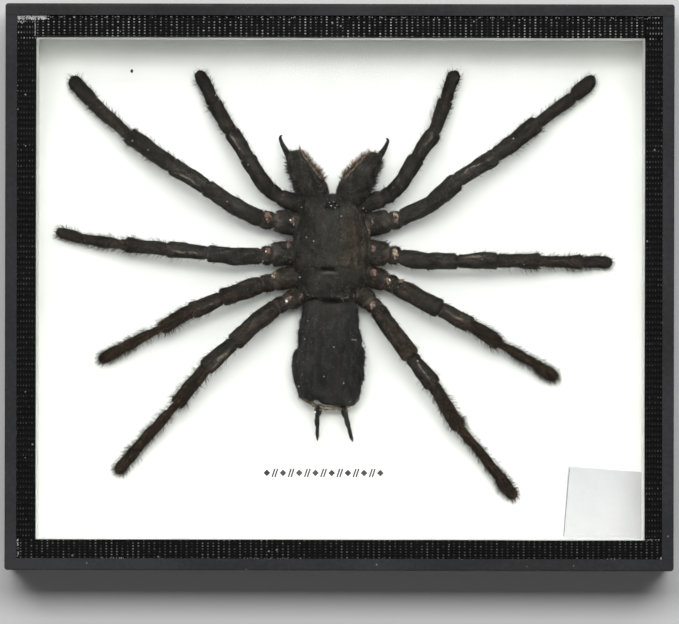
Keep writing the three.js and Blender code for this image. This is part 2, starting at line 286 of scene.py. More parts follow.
def embossed_tape():
    """Black binding tape, embossed like cloth: straight rows of fine ribs, with painted glints on some rib
    crests, strongest on the top strip that faces the lamp.
    Its own map runs along each strip and across it, in metres."""
    made, g, out = new_material("embossed_tape")
    along, across, _ = g.split(g.add("ShaderNodeTexCoord").outputs["UV"])
    row = g.math("DIVIDE", across, RIB_WIDTH * MM)
    column = g.math("DIVIDE", along, RIB_LENGTH * MM)
    across_rib = g.math("SINE", g.times(g.math("FRACT", row), math.pi))
    along_rib = g.math("SINE", g.times(g.math("FRACT", column), math.pi))
    rib = g.times(across_rib, along_rib)

    def lot(numbers):
        """A random value for each whole number, or for each pair of them."""
        vector = g.add("ShaderNodeCombineXYZ", numbers).outputs[0]
        return g.add("ShaderNodeTexWhiteNoise", {"Vector": vector}, noise_dimensions="3D").outputs["Value"]

    row_number = g.math("FLOOR", row)
    column_number = g.math("FLOOR", column)
    line_lot = lot({"X": column_number})
    rib_lot = lot({"X": row_number, "Y": column_number})
    place = g.place()
    # painted glints: near-white colour on rib crests in random rows, full on the top strip and weak
    # elsewhere, where the lamp's reflection would catch
    glint_strength = g.times(g.math("POWER", rib_lot, 1.25), g.span(line_lot, 0.25, 0.9, 0.45, 1.0))
    patchy_glint = g.times(glint_strength, g.patches(place, 70.0, 3.0, 0.6, 0.3, 0.65, 0.4, 1.0))
    crest = g.times(g.span(across_rib, 0.72, 0.93), g.span(along_rib, 0.86, 0.97))
    y = g.split(place)[1]
    glint_at_top = g.span(y, 61.0 * MM, 64.0 * MM, 0.14, 1.0)
    glint_at_bottom = g.span(y, -62.0 * MM, -64.0 * MM, 0.0, 0.3)
    painted_glint = g.times(g.times(patchy_glint, crest), g.math("MAXIMUM", glint_at_top, glint_at_bottom))
    tone = g.mottle((0.0055, 0.0055, 0.0057), (0.0026, 0.0026, 0.0028), 160.0, 2500.0)
    dusty = g.dust(500.0, 0.11, 0.14)
    lit = g.mix(painted_glint, tone["Color"], (0.95, 0.95, 0.92))
    g.put(out["Base Color"], g.mix(g.times(dusty, 0.6), lit, (0.5, 0.5, 0.48)))
    g.put(out["Roughness"], g.span(rib, 0.2, 0.9, 0.62, 0.36))
    g.put(out["Specular IOR Level"], 0.08)
    height = g.math("ADD", rib, g.times(tone["Height"], 0.25))
    g.put(out["Normal"], g.bump(height, 0.07, 0.8))
    return made


def window_glass():
    """Clear glass that lets lamps shine straight through, so that the box inside is lit."""
    made, g, out = new_material("window_glass")
    g.put(out["Base Color"], (0.97, 0.985, 0.98))
    g.put(out["Roughness"], 0.02)
    g.put(out["Transmission Weight"], 1.0)
    g.put(out["IOR"], 1.5)
    nodes = made.node_tree.nodes
    glassy = nodes["Principled BSDF"].outputs[0]
    clear = g.add("ShaderNodeBsdfTransparent", {"Color": (0.96, 0.97, 0.965)}).outputs[0]
    shadow = g.add("ShaderNodeLightPath").outputs["Is Shadow Ray"]
    both = g.add("ShaderNodeMixShader", {0: shadow, 1: glassy, 2: clear}).outputs[0]
    g.put(nodes["Material Output"].inputs["Surface"], both)
    return made


def white_board():
    light, dark = (0.865, 0.86, 0.83), (0.825, 0.82, 0.79)
    made, g, out, _ = mottled("white_board", light, dark, 60.0, 1800.0, 0.9)
    fibre = g.noise(900.0, 4.0, 0.65, g.stretched(g.place(), (1.0, 2.5, 1.0)))
    g.put(out["Normal"], g.bump(fibre, 0.03, 0.4))
    return made


def pale_card():
    light, dark = (0.54, 0.53, 0.54), (0.495, 0.485, 0.495)
    made, g, out, tone = mottled("pale_card", light, dark, 80.0, 1600.0, 0.75)
    g.put(out["Normal"], g.bump(tone["Height"], 0.02, 0.4))
    return made


# dark ink for the printed rule, also used for the painted shadow along the card's edge
def ink_and_painted_shadow():
    return mottled("ink_and_painted_shadow", (0.05, 0.05, 0.05), (0.012, 0.012, 0.012), 300.0, 4000.0, 0.7)[0]


def hardboard():
    light, dark = (0.235, 0.137, 0.069), (0.165, 0.091, 0.044)
    made, g, out, _ = mottled("hardboard", light, dark, 420.0, 2600.0, 0.8)
    mesh = g.add("ShaderNodeTexVoronoi", {"Vector": g.place(), "Scale": 700.0}).outputs["Distance"]
    g.put(out["Normal"], g.bump(mesh, 0.12, 0.6))
    return made


def plated_steel():
    made, g, out = new_material("plated_steel")
    place = g.place()
    tone = g.mottle((0.62, 0.62, 0.61), (0.42, 0.42, 0.42), 200.0, 3000.0)
    g.put(out["Base Color"], tone["Color"])
    g.put(out["Metallic"], 1.0)
    brushed = g.noise(900.0, 3.0, 0.6, g.stretched(place, (0.06, 1.0, 1.0)))
    g.put(out["Roughness"], g.span(brushed, 0.3, 0.7, 0.25, 0.45))
    g.put(out["Normal"], g.bump(brushed, 0.02, 0.4))
    return made


# pale specks: settled dust, and also the painted glints on the eyes
def settled_dust_and_glints():
    return mottled("settled_dust_and_glints", (0.85, 0.85, 0.83), (0.5, 0.5, 0.48), 900.0, 5000.0, 0.9)[0]


def dried_skin():
    return mottled("dried_skin", (0.48, 0.4, 0.31), (0.16, 0.12, 0.085), 900.0, 5000.0, 0.7)[0]


# ---------------------------------------------------------------- materials of the spider

def cuticle():
    """Dull hairy cuticle. The limb's own values tell it where the thin skin at the joints, the smear on
    the knee and the browner outer stretches lie, and where its underside and flanks are painted darker as
    shade."""
    made, g, out = new_material("cuticle")
    place = g.place()
    along = g.attribute("along")
    side = g.attribute("side")
    grey = g.mottle((0.04, 0.036, 0.031), (0.0115, 0.0105, 0.0087), 420.0, 2600.0)
    brown = g.mottle((0.036, 0.0245, 0.0152), (0.0075, 0.0052, 0.0035), 500.0, 2600.0)
    base = g.mix(g.attribute("warm"), grey["Color"], brown["Color"])
    # painted shade: by its top value the limb is darkened towards near-black on its underside and flanks,
    # lighter on top, as the lamp above would light it
    back = g.span(g.attribute("top"), -0.3, 0.9)
    shaded = g.mix(back, (0.01, 0.0088, 0.0072), base)
    broken = g.patches(place, 700.0, 4.0, 0.7, 0.4, 0.62)
    knee = g.band(along, 4.5, 0.46)
    drift = g.patches(place, 170.0, 2.0, 0.5, 0.3, 0.7, -0.3, 0.3)
    smear = g.band(g.math("ADD", side, drift), 0.25, 0.2)
    smear = g.times(g.times(smear, knee), g.times(back, broken))
    smeared = g.mix(g.times(smear, 0.9), shaded, (0.19, 0.155, 0.13))
    bare = g.times(g.attribute("bare"), g.patches(place, 500.0, 3.0, 0.6, 0.36, 0.62))
    membrane = g.mix(g.noise(900.0, 3.0, 0.6, place), (0.018, 0.012, 0.0088), (0.088, 0.06, 0.043))
    g.put(out["Base Color"], g.mix(bare, smeared, membrane))
    g.put(out["Roughness"], g.span(bare, 0.0, 1.0, 0.62, 0.35))
    g.put(out["Specular IOR Level"], g.span(bare, 0.0, 1.0, 0.08, 0.35))
    pile = g.noise(3200.0, 3.0, 0.7, place)
    g.put(out["Normal"], g.bump(pile, 0.12, 0.8))
    return made


def shield():
    """The carapace: short pile over a dull shield, browner on one side, with a dark patch under the eyes
    and a thin reddish margin in front. The fovea's pit has a painted dark crescent of shade and a painted
    pale line of highlight, and the rear edge is painted near-black as shade where it meets the abdomen."""
    made, g, out = new_material("shield")
    place = g.place()
    x, y, _ = g.split(place)
    grey = g.mottle((0.036, 0.0335, 0.027), (0.008, 0.0073, 0.0058), 330.0, 2400.0)
    brown = g.mottle((0.075, 0.056, 0.04), (0.016, 0.013, 0.01), 420.0, 2400.0)
    broken = g.patches(place, 300.0, 4.0, 0.7, 0.34, 0.6)
    base = g.mix(g.times(g.spot(x, y, 3.0, 11.0, 4.6, 8.0), broken), grey["Color"], brown["Color"])
    base = g.mix(g.times(g.spot(x, y, -1.9, 14.0, 3.0, 10.0), 0.3), base, (0.033, 0.034, 0.033))
    base = g.mix(g.times(g.spot(x, y, -1.8, 20.9, 2.5, 1.6), 0.95), base, (0.0065, 0.005, 0.004))
    # painted shade: near-black at the carapace's rear edge, where it meets the abdomen
    base = g.mix(g.spot(x, y, -2.2, -3.3, 3.2, 0.9), base, (0.003, 0.0026, 0.0022))
    # the fovea: a pale line on its near side and a dark crescent on its far side, painted highlight and
    # painted shade of the pit as the lamp would light it
    off = g.times(g.math("POWER", g.math("ADD", x, 2.8 * MM), 2.0), 90.0)
    bowed = g.math("ADD", y, off)
    base = g.mix(g.times(g.spot(x, bowed, -2.8, 3.75, 2.6, 0.5), 0.5), base, (0.12, 0.115, 0.1))
    base = g.mix(g.spot(x, bowed, -2.8, 4.55, 2.8, 0.62), base, (0.006, 0.0052, 0.0045))
    margin = g.times(g.attribute("margin"), g.patches(place, 520.0, 3.0, 0.6, 0.4, 0.6))
    tinted = g.mix(g.span(y, 19.5 * MM, 21.0 * MM), (0.36, 0.3, 0.23), (0.17, 0.075, 0.04))
    g.put(out["Base Color"], g.mix(margin, base, tinted))
    g.put(out["Roughness"], g.span(margin, 0.0, 1.0, 0.6, 0.35))
    g.put(out["Specular IOR Level"], 0.12)
    pile = g.noise(3000.0, 3.0, 0.7, place)
    g.put(out["Normal"], g.bump(pile, 0.12, 0.7))
    return made


def velvet():
    """The abdomen's skin under its short dark hair, scratched through in one place, paler and bare round
    the rear rim, and painted near-black at its front end as shade where it meets the carapace."""
    made, g, out = new_material("velvet")
    place = g.place()
    x, y, _ = g.split(place)
    tone = g.mottle((0.025, 0.0246, 0.0228), (0.0115, 0.0113, 0.0104), 220.0, 2800.0)
    folds = g.patches(g.stretched(place, (1.0, 0.12, 1.0)), 420.0, 3.0, 0.6, 0.5, 0.66)
    creased = g.mix(g.times(folds, 0.6), tone["Color"], (0.056, 0.053, 0.048))
    rubbed = g.patches(g.stretched(place, (1.0, 0.09, 1.0)), 520.0, 3.0, 0.6, 0.52, 0.66)
    creased = g.mix(g.times(rubbed, 0.55), creased, (0.042, 0.0255, 0.0215))
    front = g.span(y, -13.0 * MM, -4.5 * MM)
    left = g.span(x, -8.5 * MM, -11.0 * MM)
    creased = g.mix(g.times(g.math("MAXIMUM", front, left), 0.42), creased, (0.052, 0.047, 0.038))
    # painted shade: near-black at the abdomen's front end, where it meets the carapace
    creased = g.mix(g.spot(x, y, -2.2, -3.2, 3.6, 1.5), creased, (0.0025, 0.0022, 0.002))
    bare = g.times(g.attribute("bare"), g.patches(place, 380.0, 3.0, 0.6, 0.34, 0.54))
    scratch = g.math("MAXIMUM", bare, g.spot(x, y, 3.7, -13.4, 0.9, 0.15))
    g.put(out["Base Color"], g.mix(scratch, creased, (0.6, 0.48, 0.37)))
    g.put(out["Roughness"], 0.85)
    g.put(out["Specular IOR Level"], 0.1)
    g.put(out["Normal"], g.bump(g.noise(2600.0, 3.0, 0.7, place), 0.14, 0.8))
    return made


def thin_skin():
    """The soft skin that swells out between the leg bases: glossy, blotched pink and cream, with painted
    white glints.
    """
    made, g, out = new_material("thin_skin")
    pink = g.mottle((0.2, 0.1, 0.072), (0.024, 0.0125, 0.009), 760.0, 2200.0)
    cream = g.mottle((0.34, 0.26, 0.19), (0.032, 0.023, 0.016), 760.0, 2200.0)
    skin = g.mix(g.span(g.attribute("pale"), 0.0, 1.0, smooth=False), pink["Color"], cream["Color"])
    # painted glints: scattered near-white specks standing in for the lamp's reflections
    painted_glints = g.dust(1100.0, 0.34, 0.2)
    g.put(out["Base Color"], g.mix(painted_glints, skin, (0.95, 0.94, 0.92)))
    g.put(out["Roughness"], 0.18)
    g.put(out["Normal"], g.bump(pink["Height"], 0.1, 0.5))
    return made


def horn():
    made, g, out = new_material("horn")
    tone = g.mottle((0.008, 0.006, 0.005), (0.0025, 0.002, 0.0018), 500.0, 3000.0)
    g.put(out["Base Color"], tone["Color"])
    g.put(out["Roughness"], g.span(tone["Height"], 0.3, 0.7, 0.16, 0.3))
    g.put(out["Specular IOR Level"], 0.4)
    return made


def hair(name, light, dark, gloss=0.5):
    """Hairs of one coat. Each has its own tint, so that a few light ones stand out from the rest."""
    made, g, out = new_material(name)
    tone = g.mottle(dark, tuple(c * 0.6 for c in dark), 300.0, 3500.0)
    g.put(out["Base Color"], g.mix(g.attribute("tint"), tone["Color"], light))
    g.put(out["Roughness"], gloss)
    g.put(out["Specular IOR Level"], 0.1)
    return made


PAINT = black_paint()
TAPE = embossed_tape()
GLASS = window_glass()
WHITE = white_board()
CARD = pale_card()
INK_AND_SHADOW = ink_and_painted_shadow()
HARDBOARD = hardboard()
STEEL = plated_steel()
FLECK = settled_dust_and_glints()
CRUMB = dried_skin()
CUTICLE = cuticle()
SHIELD = shield()
VELVET = velvet()
HORN = horn()
SKIN = thin_skin()
HAIR_GREY = hair("grey_hair", (0.12, 0.106, 0.086), (0.011, 0.0098, 0.0076))
HAIR_BROWN = hair("brown_hair", (0.13, 0.08, 0.046), (0.0092, 0.0062, 0.0041))
HAIR_DARK = hair("dark_brown_hair", (0.06, 0.04, 0.024), (0.0042, 0.0031, 0.0022))
HAIR_OLIVE = hair("olive_hair", (0.17, 0.132, 0.092), (0.015, 0.0125, 0.0095))
HAIR_BLACK = hair("velvet_hair", (0.075, 0.0745, 0.07), (0.021, 0.0208, 0.0194), 0.6)
HAIR_RUST = hair("rust_hair", (0.34, 0.17, 0.09), (0.036, 0.016, 0.01), 0.45)
HAIR_CREAM = hair("cream_hair", (0.7, 0.56, 0.42), (0.4, 0.27, 0.18), 0.45)


# ---------------------------------------------------------------- pieces

def piece(name, bm, material, nodes=(), smooth=True):
    """Ends a mesh: an object at the origin that rides on the one body and stands for its nodes."""
    mesh = bpy.data.meshes.new(name)
    bm.to_mesh(mesh)
    bm.free()
    return settle(name, mesh, material, nodes, smooth)


def settle(name, mesh, material, nodes=(), smooth=True):
    """Ends a piece whose mesh is ready."""
    mesh.name = name
    mesh.polygons.foreach_set("use_smooth", [smooth] * len(mesh.polygons))
    mesh.materials.clear()
    mesh.materials.append(material)
    made = bpy.data.objects.new(name, mesh)
    bpy.context.scene.collection.objects.link(made)
    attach(made, BODY)
    if nodes:
        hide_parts(*nodes)
    return made


def finish_node(node, material):
    """Gives a node that is shown as it is its material."""
    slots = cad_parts[node].data.materials
    slots.clear()
    slots.append(material)


# ---------------------------------------------------------------- the frame

OUTER_ROUNDING = 0.45
INNER_ROUNDING = 0.15
TAPE_THICKNESS = 0.16
TAPE_DROP = 0.3  # how much wider the top strip is at its left end
FLAT_MARK_THICKNESS = 0.03


def set_down(bm, verts, stretch, turned, place):
    """Stretches a small shape that lies at the origin, turns it and moves it to its place."""
    bmesh.ops.scale(bm, vec=stretch, verts=verts)
    bmesh.ops.rotate(bm, cent=(0, 0, 0), matrix=Matrix.Rotation(turned, 3, "Z"), verts=verts)
    bmesh.ops.translate(bm, vec=place, verts=verts)


def soft_rail(node, along):
    """A rail with its long edges and its outer corners slightly rounded."""
    bm = bmesh.new()
    bm.from_mesh(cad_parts[node].data)
    bmesh.ops.remove_doubles(bm, verts=bm.verts, dist=0.001 * MM)
    bmesh.ops.dissolve_limit(bm, angle_limit=math.radians(2), verts=bm.verts, edges=bm.edges)
    far = (HALF_WIDTH if along == 1 else HALF_HEIGHT) * MM

    def outer(edge):
        reach = abs((edge.verts[0].co[1 - along] + edge.verts[1].co[1 - along]) / 2)
        return far - reach < 0.01 * MM

    def runs_along(edge):
        way = edge.verts[1].co - edge.verts[0].co
        return abs(way[along]) > 0.98 * way.length

    long_edges = [e for e in bm.edges if e.is_convex and runs_along(e) and e.calc_face_angle(0) > 1]
    outside = [e for e in long_edges if outer(e)]
    inside = [e for e in long_edges if not outer(e) and e.verts[0].co.z > (FRAME_TOP - 0.1) * MM]
    for edges, width in ((outside, OUTER_ROUNDING), (inside, INNER_ROUNDING)):
        bmesh.ops.bevel(bm, geom=edges, offset=width * MM, segments=3, profile=0.5,
                        affect="EDGES", material=-1)
    return piece(node, bm, PAINT, [node], smooth=False)


def strip(node, along, inner_edge, lift):
    """A strip of tape as thin as the real one. Its inner edge wanders a little, and it rises by
    lift where it laps over another strip."""
    low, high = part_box(node)
    ends = {0: (low.x, high.x), 1: (low.y, high.y)}[along]
    sides = {0: (low.y, high.y), 1: (low.x, high.x)}[along]
    bm = bmesh.new()
    bmesh.ops.create_grid(bm, x_segments=160, y_segments=6, size=0.5)
    map_layer = bm.loops.layers.uv.new("UVMap")
    outer = max(sides, key=abs)
    for v in bm.verts:
        place = ends[0] + (v.co.x + 0.5) * (ends[1] - ends[0])
        share = v.co.y + 0.5
        edge = inner_edge(place / MM) * MM
        across = outer + (edge - outer) * share
        point = [0.0, 0.0, GLASS_TOP * MM + lift(place / MM) * MM]
        point[along] = place
        point[1 - along] = across
        v.co = point
    for face in bm.faces:
        for loop in face.loops:
            loop[map_layer].uv = (loop.vert.co[along], loop.vert.co[1 - along])
    bmesh.ops.recalc_face_normals(bm, faces=bm.faces)
    if sum(f.normal.z for f in bm.faces) < 0:
        bmesh.ops.reverse_faces(bm, faces=bm.faces)
    bmesh.ops.solidify(bm, geom=bm.faces[:], thickness=-TAPE_THICKNESS * MM)
    bmesh.ops.recalc_face_normals(bm, faces=bm.faces)
    return piece(node, bm, TAPE, [node], smooth=False)


def wander(place, seed, size=0.12, length=38.0):
    """A slow random drift along an edge."""
    return size * noise.noise(Vector((place / length, seed, 0.0))) * 2


def lay_tape():
    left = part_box("tape_left")[1].x / MM
    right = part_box("tape_right")[0].x / MM
    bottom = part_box("tape_bottom")[1].y / MM
    top_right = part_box("tape_top")[0].y / MM
    slope = TAPE_DROP / (right - left)

    def over_top(place):
        return TAPE_THICKNESS if place > top_right - 0.2 else 0.0

    def over_sides(place):
        return TAPE_THICKNESS if place < left or place > right else 0.0

    strip("tape_top", 0, lambda x: top_right + (right - x) * slope + wander(x, 1), lambda x: 0.0)
    strip("tape_left", 1, lambda y: left + wander(y, 2, 0.07), over_top)
    strip("tape_right", 1, lambda y: right + wander(y, 3, 0.06), over_top)
    strip("tape_bottom", 0, lambda x: bottom + wander(x, 4, 0.08), over_sides)


def printed_rule():
    """A generic ornament where a caption is usual: a row of lozenges and pairs of slanted bars."""
    bm = bmesh.new()
    centre = mm(-4.0, -47.6, BOARD_TOP)
    thickness = FLAT_MARK_THICKNESS * MM
    step = 2.08
    lozenge = 1.25

    def bar(offset, length, height, turned):
        made = bmesh.ops.create_cube(bm, size=1.0)["verts"]
        place = centre + mm(offset, 0, 0) + Vector((0, 0, thickness / 2))
        set_down(bm, made, (length * MM, height * MM, thickness), math.radians(turned), place)

    for number in range(-7, 8):
        if number % 2:
            bar(number * step, lozenge, lozenge, 45)
        else:
            for shift in (-0.36, 0.36):
                bar(number * step + shift, 0.4, 2.3, -18)
    return piece("printed_rule", bm, INK_AND_SHADOW, smooth=False)


def flecks(name, spots, material, seed, flat=0.5):
    """Small uneven crumbs at the spots, each [x, y, z, size] in millimetres."""
    rng = np.random.default_rng(seed)
    bm = bmesh.new()
    for x, y, z, size in spots:
        made = bmesh.ops.create_icosphere(bm, subdivisions=1, radius=size * MM / 2)["verts"]
        for v in made:
            v.co *= rng.uniform(0.65, 1.25)
        stretch = rng.uniform(0.7, 1.4)
        place = mm(x, y, z + size * flat * 0.35)
        set_down(bm, made, (stretch, 1 / stretch, flat), rng.uniform(0, TURN), place)
    return piece(name, bm, material, smooth=False)


# Bright specks that catch the eye, over the spider, as [x, y] on the glass.
GLASS_SPECKS = [
    (-8.4, 12.7), (-6.6, 11.7), (0.4, 18.1), (-9.7, 20.3), (6.0, 20.1), (-10.1, 2.5),
    (-1.4, -15.2), (-3.9, -22.7), (1.1, -24.4), (-10.3, -25.2), (-48.7, 34.8), (-28.6, 21.7),
    (-52.7, 37.1), (-23.3, 31.1), (-19.5, 6.6), (19.9, -18.7), (44.1, 37.9), (-31.6, 48.8),
]


STRAY_FIBRE = [(-61.8, 51.5), (-58.0, 52.0), (-53.4, 52.4), (-48.3, 52.8)]


def scatter_dust():
    """Specks of dust on the glass, one of them dark, and a fibre that stuck to it."""
    rng = np.random.default_rng(11)
    on_glass = [[x, y, GLASS_TOP, rng.uniform(0.28, 0.42)] for x, y in GLASS_SPECKS]
    for _ in range(110):
        x, y = rng.uniform(-74, 74), rng.uniform(-60, 60)
        on_glass.append([x, y, GLASS_TOP, rng.uniform(0.08, 0.2)])
    flecks("glass_dust", on_glass, FLECK, 12)
    flecks("dark_speck", [[-52.9, 54.8, GLASS_TOP, 0.9]], PAINT, 14)
    height = GLASS_TOP - BOARD_TOP + 0.04
    stations = [[x, y, height, 0.035, 0.025] for x, y in STRAY_FIBRE]
    bm, _ = lofted(spaced(stations, 40), 6)
    piece("stray_fibre", bm, FLECK)


# Pale glue squeezed out round the tape: [x from, x to, y from, y to, crumbs, crumb size].
GLUE = [
    (-82.4, -74.5, 67.9, 69.0, 200, 0.44), (-82.3, -80.0, 66.9, 68.2, 24, 0.3),
    (-77.6, -77.4, 63.8, 67.8, 70, 0.16), (-82.3, -81.9, 48.3, 51.9, 26, 0.26),
    (-81.9, -81.5, -68.8, -64.2, 30, 0.26), (-60.9, -54.5, -69.3, -68.9, 26, 0.24),
    (-25.3, -12.6, -69.3, -68.9, 44, 0.22), (67.5, 71.3, -69.3, -68.9, 16, 0.22),
    (81.7, 82.2, -69.2, -68.4, 14, 0.34), (76.4, 81.4, -64.2, -63.95, 40, 0.16),
    (-72.0, 70.0, -69.2, -68.95, 90, 0.12), (-82.2, -81.9, -60.0, 60.0, 90, 0.14),
    (81.8, 82.1, 20.0, 60.0, 30, 0.14), (74.0, 81.5, 68.3, 68.8, 22, 0.2),
]
# The glue along the top edge is broken into dashes: the first, their step, length and line.
FIRST_DASH = -74
DASH_STEP = 2.8
DASH_LENGTH = 1.1
DASH_Y = 68.55
GLUE_HEIGHT = 0.3  # above the glass, on the tape


def lay_glue():
    rng = np.random.default_rng(15)
    height = GLASS_TOP + GLUE_HEIGHT
    crumbs = []
    for x0, x1, y0, y1, count, size in GLUE:
        for _ in range(count):
            crumbs.append([rng.uniform(x0, x1), rng.uniform(y0, y1), height, size * rng.uniform(0.5, 1.1)])
    for dash in range(52):
        start = FIRST_DASH + dash * DASH_STEP
        for _ in range(rng.integers(1, 5)):
            x = start + rng.uniform(0, DASH_LENGTH)
            y = DASH_Y + rng.normal(0, 0.08)
            crumbs.append([x, y, height, rng.uniform(0.16, 0.3)])
    flecks("glue_crumbs", crumbs, FLECK, 13, 0.6)


def card_edge_shadow():
    """A thin dark strip along the card's left edge: a painted shadow, where the card's edge would cast one
    on the board.
    """
    bm = bmesh.new()
    line = bmesh.ops.create_cube(bm, size=1.0)["verts"]
    place = mm(58.35, -54.9, top_of("corner_card") + FLAT_MARK_THICKNESS / 2)
    set_down(bm, line, (0.15 * MM, 17.4 * MM, FLAT_MARK_THICKNESS * MM), math.radians(-4.7), place)
    return piece("card_edge_shadow", bm, INK_AND_SHADOW, smooth=False)


def build_frame():
    card_edge_shadow()
    for node, along in (("rail_top", 0), ("rail_bottom", 0), ("rail_left", 1), ("rail_right", 1)):
        soft_rail(node, along)
    lay_tape()
    finish_node("glass_pane", GLASS)
    for node in ("backing_board", "lining_top", "lining_bottom", "lining_left", "lining_right"):
        finish_node(node, WHITE)
    finish_node("corner_card", CARD)
    finish_node("back_panel", HARDBOARD)
    finish_node("hanger", STEEL)
    printed_rule()
    scatter_dust()
    lay_glue()


# ---------------------------------------------------------------- the spider's solids

SKIN_VALUES = ("along", "side", "top", "bare", "warm", "margin")


def lofted(stations, sides, section=None):
    """A closed tube: a cylinder cut into rings, each moved to its station [x, y, height, half
    width, half thickness], square to the way through. Heights are above the board. Each point
    keeps how far along it is, which side it is on and the way the hair lies there."""
    rings = len(stations)
    bm = bmesh.new()
    bmesh.ops.create_cone(bm, cap_ends=True, segments=sides, radius1=1, radius2=1, depth=1)
    upright = [e for e in bm.edges if abs(e.verts[0].co.z - e.verts[1].co.z) > 0.5]
    bmesh.ops.subdivide_edges(bm, edges=upright, cuts=rings - 2, use_grid_fill=True)
    layers = {name: bm.verts.layers.float.new(name) for name in SKIN_VALUES}
    layers["flow"] = bm.verts.layers.float_vector.new("flow")
    centres = [mm(x, y, BOARD_TOP + height) for x, y, height, *_ in stations]
    ways = []
    for i in range(rings):
        way = centres[min(i + 1, rings - 1)] - centres[max(i - 1, 0)]
        ways.append(way.normalized())
    for v in bm.verts:
        i = round((v.co.z + 0.5) * (rings - 1))
        across = Vector((0, 0, 1)).cross(ways[i]).normalized()
        up = ways[i].cross(across)
        _, _, _, half_width, half_thickness, *rest = stations[i]
        turned = math.atan2(v.co.y, v.co.x)
        side, top = (section or round_section)(turned)
        v[layers["along"]] = rest[0] if rest else i / (rings - 1)
        v[layers["side"]] = math.cos(turned)
        v[layers["top"]] = math.sin(turned)
        v[layers["flow"]] = ways[i]
        v.co = centres[i] + across * (side * half_width * MM) + up * (top * half_thickness * MM)
    return bm, layers


def round_section(turned):
    return math.cos(turned), math.sin(turned)


def shield_section(turned):
    """Sharp at the sides, domed above and flatter below."""
    side, top = math.cos(turned), math.sin(turned)
    if top < 0:
        return math.copysign(abs(side) ** 0.8, side), -abs(top) ** 0.9
    return math.copysign(abs(side) ** 0.92, side), abs(top) ** 1.1


def spaced(points, count):
    """The stations, passed through by a smooth curve at count even steps."""
    xs = np.array(points, float)
    way = np.concatenate([[0], np.cumsum(np.linalg.norm(np.diff(xs[:, :3], axis=0), axis=1))])
    wanted = np.linspace(0, way[-1], count)
    slopes = np.gradient(xs, way, axis=0)
    at = np.clip(np.searchsorted(way, wanted, side="right") - 1, 0, len(way) - 2)
    step = (way[at + 1] - way[at])[:, None]
    t = (wanted - way[at])[:, None] / step
    a, b, u, w = xs[at], xs[at + 1], slopes[at] * step, slopes[at + 1] * step
    near = (2 * t**3 - 3 * t**2 + 1) * a + (t**3 - 2 * t**2 + t) * u
    far = (3 * t**2 - 2 * t**3) * b
    curve = near + far + (t**3 - t**2) * w
    curve[:, 3:5] = np.maximum(curve[:, 3:5], 0.02)
    return curve.tolist()


def roughen(bm, size, length, seed):
    """Dries the surface out: soft dents and swellings along the normals."""
    bm.normal_update()
    for v in bm.verts:
        spot = v.co / (length * MM) + Vector((seed, seed * 0.7, 0.0))
        v.co += v.normal * (noise.noise(spot) * size * MM)


BODY_X = -1.9  # the spider's midline

# Body outlines along the midline: [x, y, height, half width, half thickness].
CARAPACE = [
    [-1.9, 23.4, 6.2, 3.0, 1.2], [-1.9, 22.9, 6.4, 5.2, 2.6], [-2.1, 22.0, 6.6, 6.5, 4.0],
    [-2.2, 19.3, 6.8, 7.8, 5.4], [-2.0, 16.5, 6.8, 8.8, 5.7], [-1.9, 13.3, 6.8, 9.6, 5.8],
    [-2.1, 10.0, 6.8, 9.9, 5.8], [-2.2, 6.2, 6.8, 9.7, 5.7], [-2.2, 3.7, 6.7, 9.3, 5.5],
    [-2.4, 1.3, 6.6, 8.6, 5.2], [-2.2, -0.5, 6.3, 7.6, 4.6], [-2.1, -2.2, 6.0, 6.2, 3.8],
    [-2.2, -3.3, 5.7, 4.2, 2.4], [-2.2, -3.8, 5.6, 2.4, 1.2],
]
ABDOMEN = [
    [-2.7, -2.4, 5.0, 4.4, 1.6], [-2.6, -3.3, 5.2, 6.0, 2.8], [-2.5, -5.6, 5.5, 6.9, 4.4],
    [-2.4, -8.1, 5.6, 7.1, 5.1], [-2.6, -10.3, 5.6, 7.4, 5.3], [-2.6, -12.3, 5.7, 7.7, 5.5],
    [-2.3, -15.4, 5.7, 8.3, 5.6], [-2.4, -16.9, 5.7, 8.8, 5.6], [-2.7, -18.5, 5.7, 8.9, 5.6],
    [-2.9, -21.2, 5.6, 8.8, 5.5], [-2.5, -23.3, 5.5, 8.7, 5.4], [-2.3, -25.1, 5.4, 8.4, 5.2],
    [-1.9, -26.7, 5.2, 7.7, 4.6], [-1.6, -27.9, 5.1, 6.6, 3.9], [-1.8, -28.9, 5.0, 5.0, 3.0],
    [-1.9, -29.4, 4.9, 3.1, 1.8], [-1.9, -29.6, 4.8, 1.4, 0.8],
]
CHELICERA_LEFT = [
    [-5.0, 21.7, 6.3, 2.0, 1.5], [-5.5, 22.5, 6.4, 3.2, 2.4], [-6.4, 23.8, 6.6, 3.8, 3.1],
    [-7.6, 25.8, 7.0, 3.8, 3.7], [-9.2, 28.8, 7.2, 3.2, 4.0], [-10.7, 31.6, 6.8, 2.6, 3.5],
    [-11.5, 33.6, 6.2, 1.9, 2.6], [-11.8, 34.4, 5.9, 1.0, 1.4],
]
CHELICERA_RIGHT = [
    [1.3, 21.7, 6.3, 2.0, 1.5], [1.8, 22.5, 6.4, 3.2, 2.4], [2.8, 23.8, 6.6, 3.8, 3.1],
    [4.2, 25.9, 7.0, 3.8, 3.7], [6.0, 28.8, 7.2, 3.2, 4.0], [7.7, 31.3, 6.8, 2.6, 3.5],
    [8.7, 33.1, 6.2, 1.9, 2.6], [9.1, 33.9, 5.9, 1.0, 1.4],
]
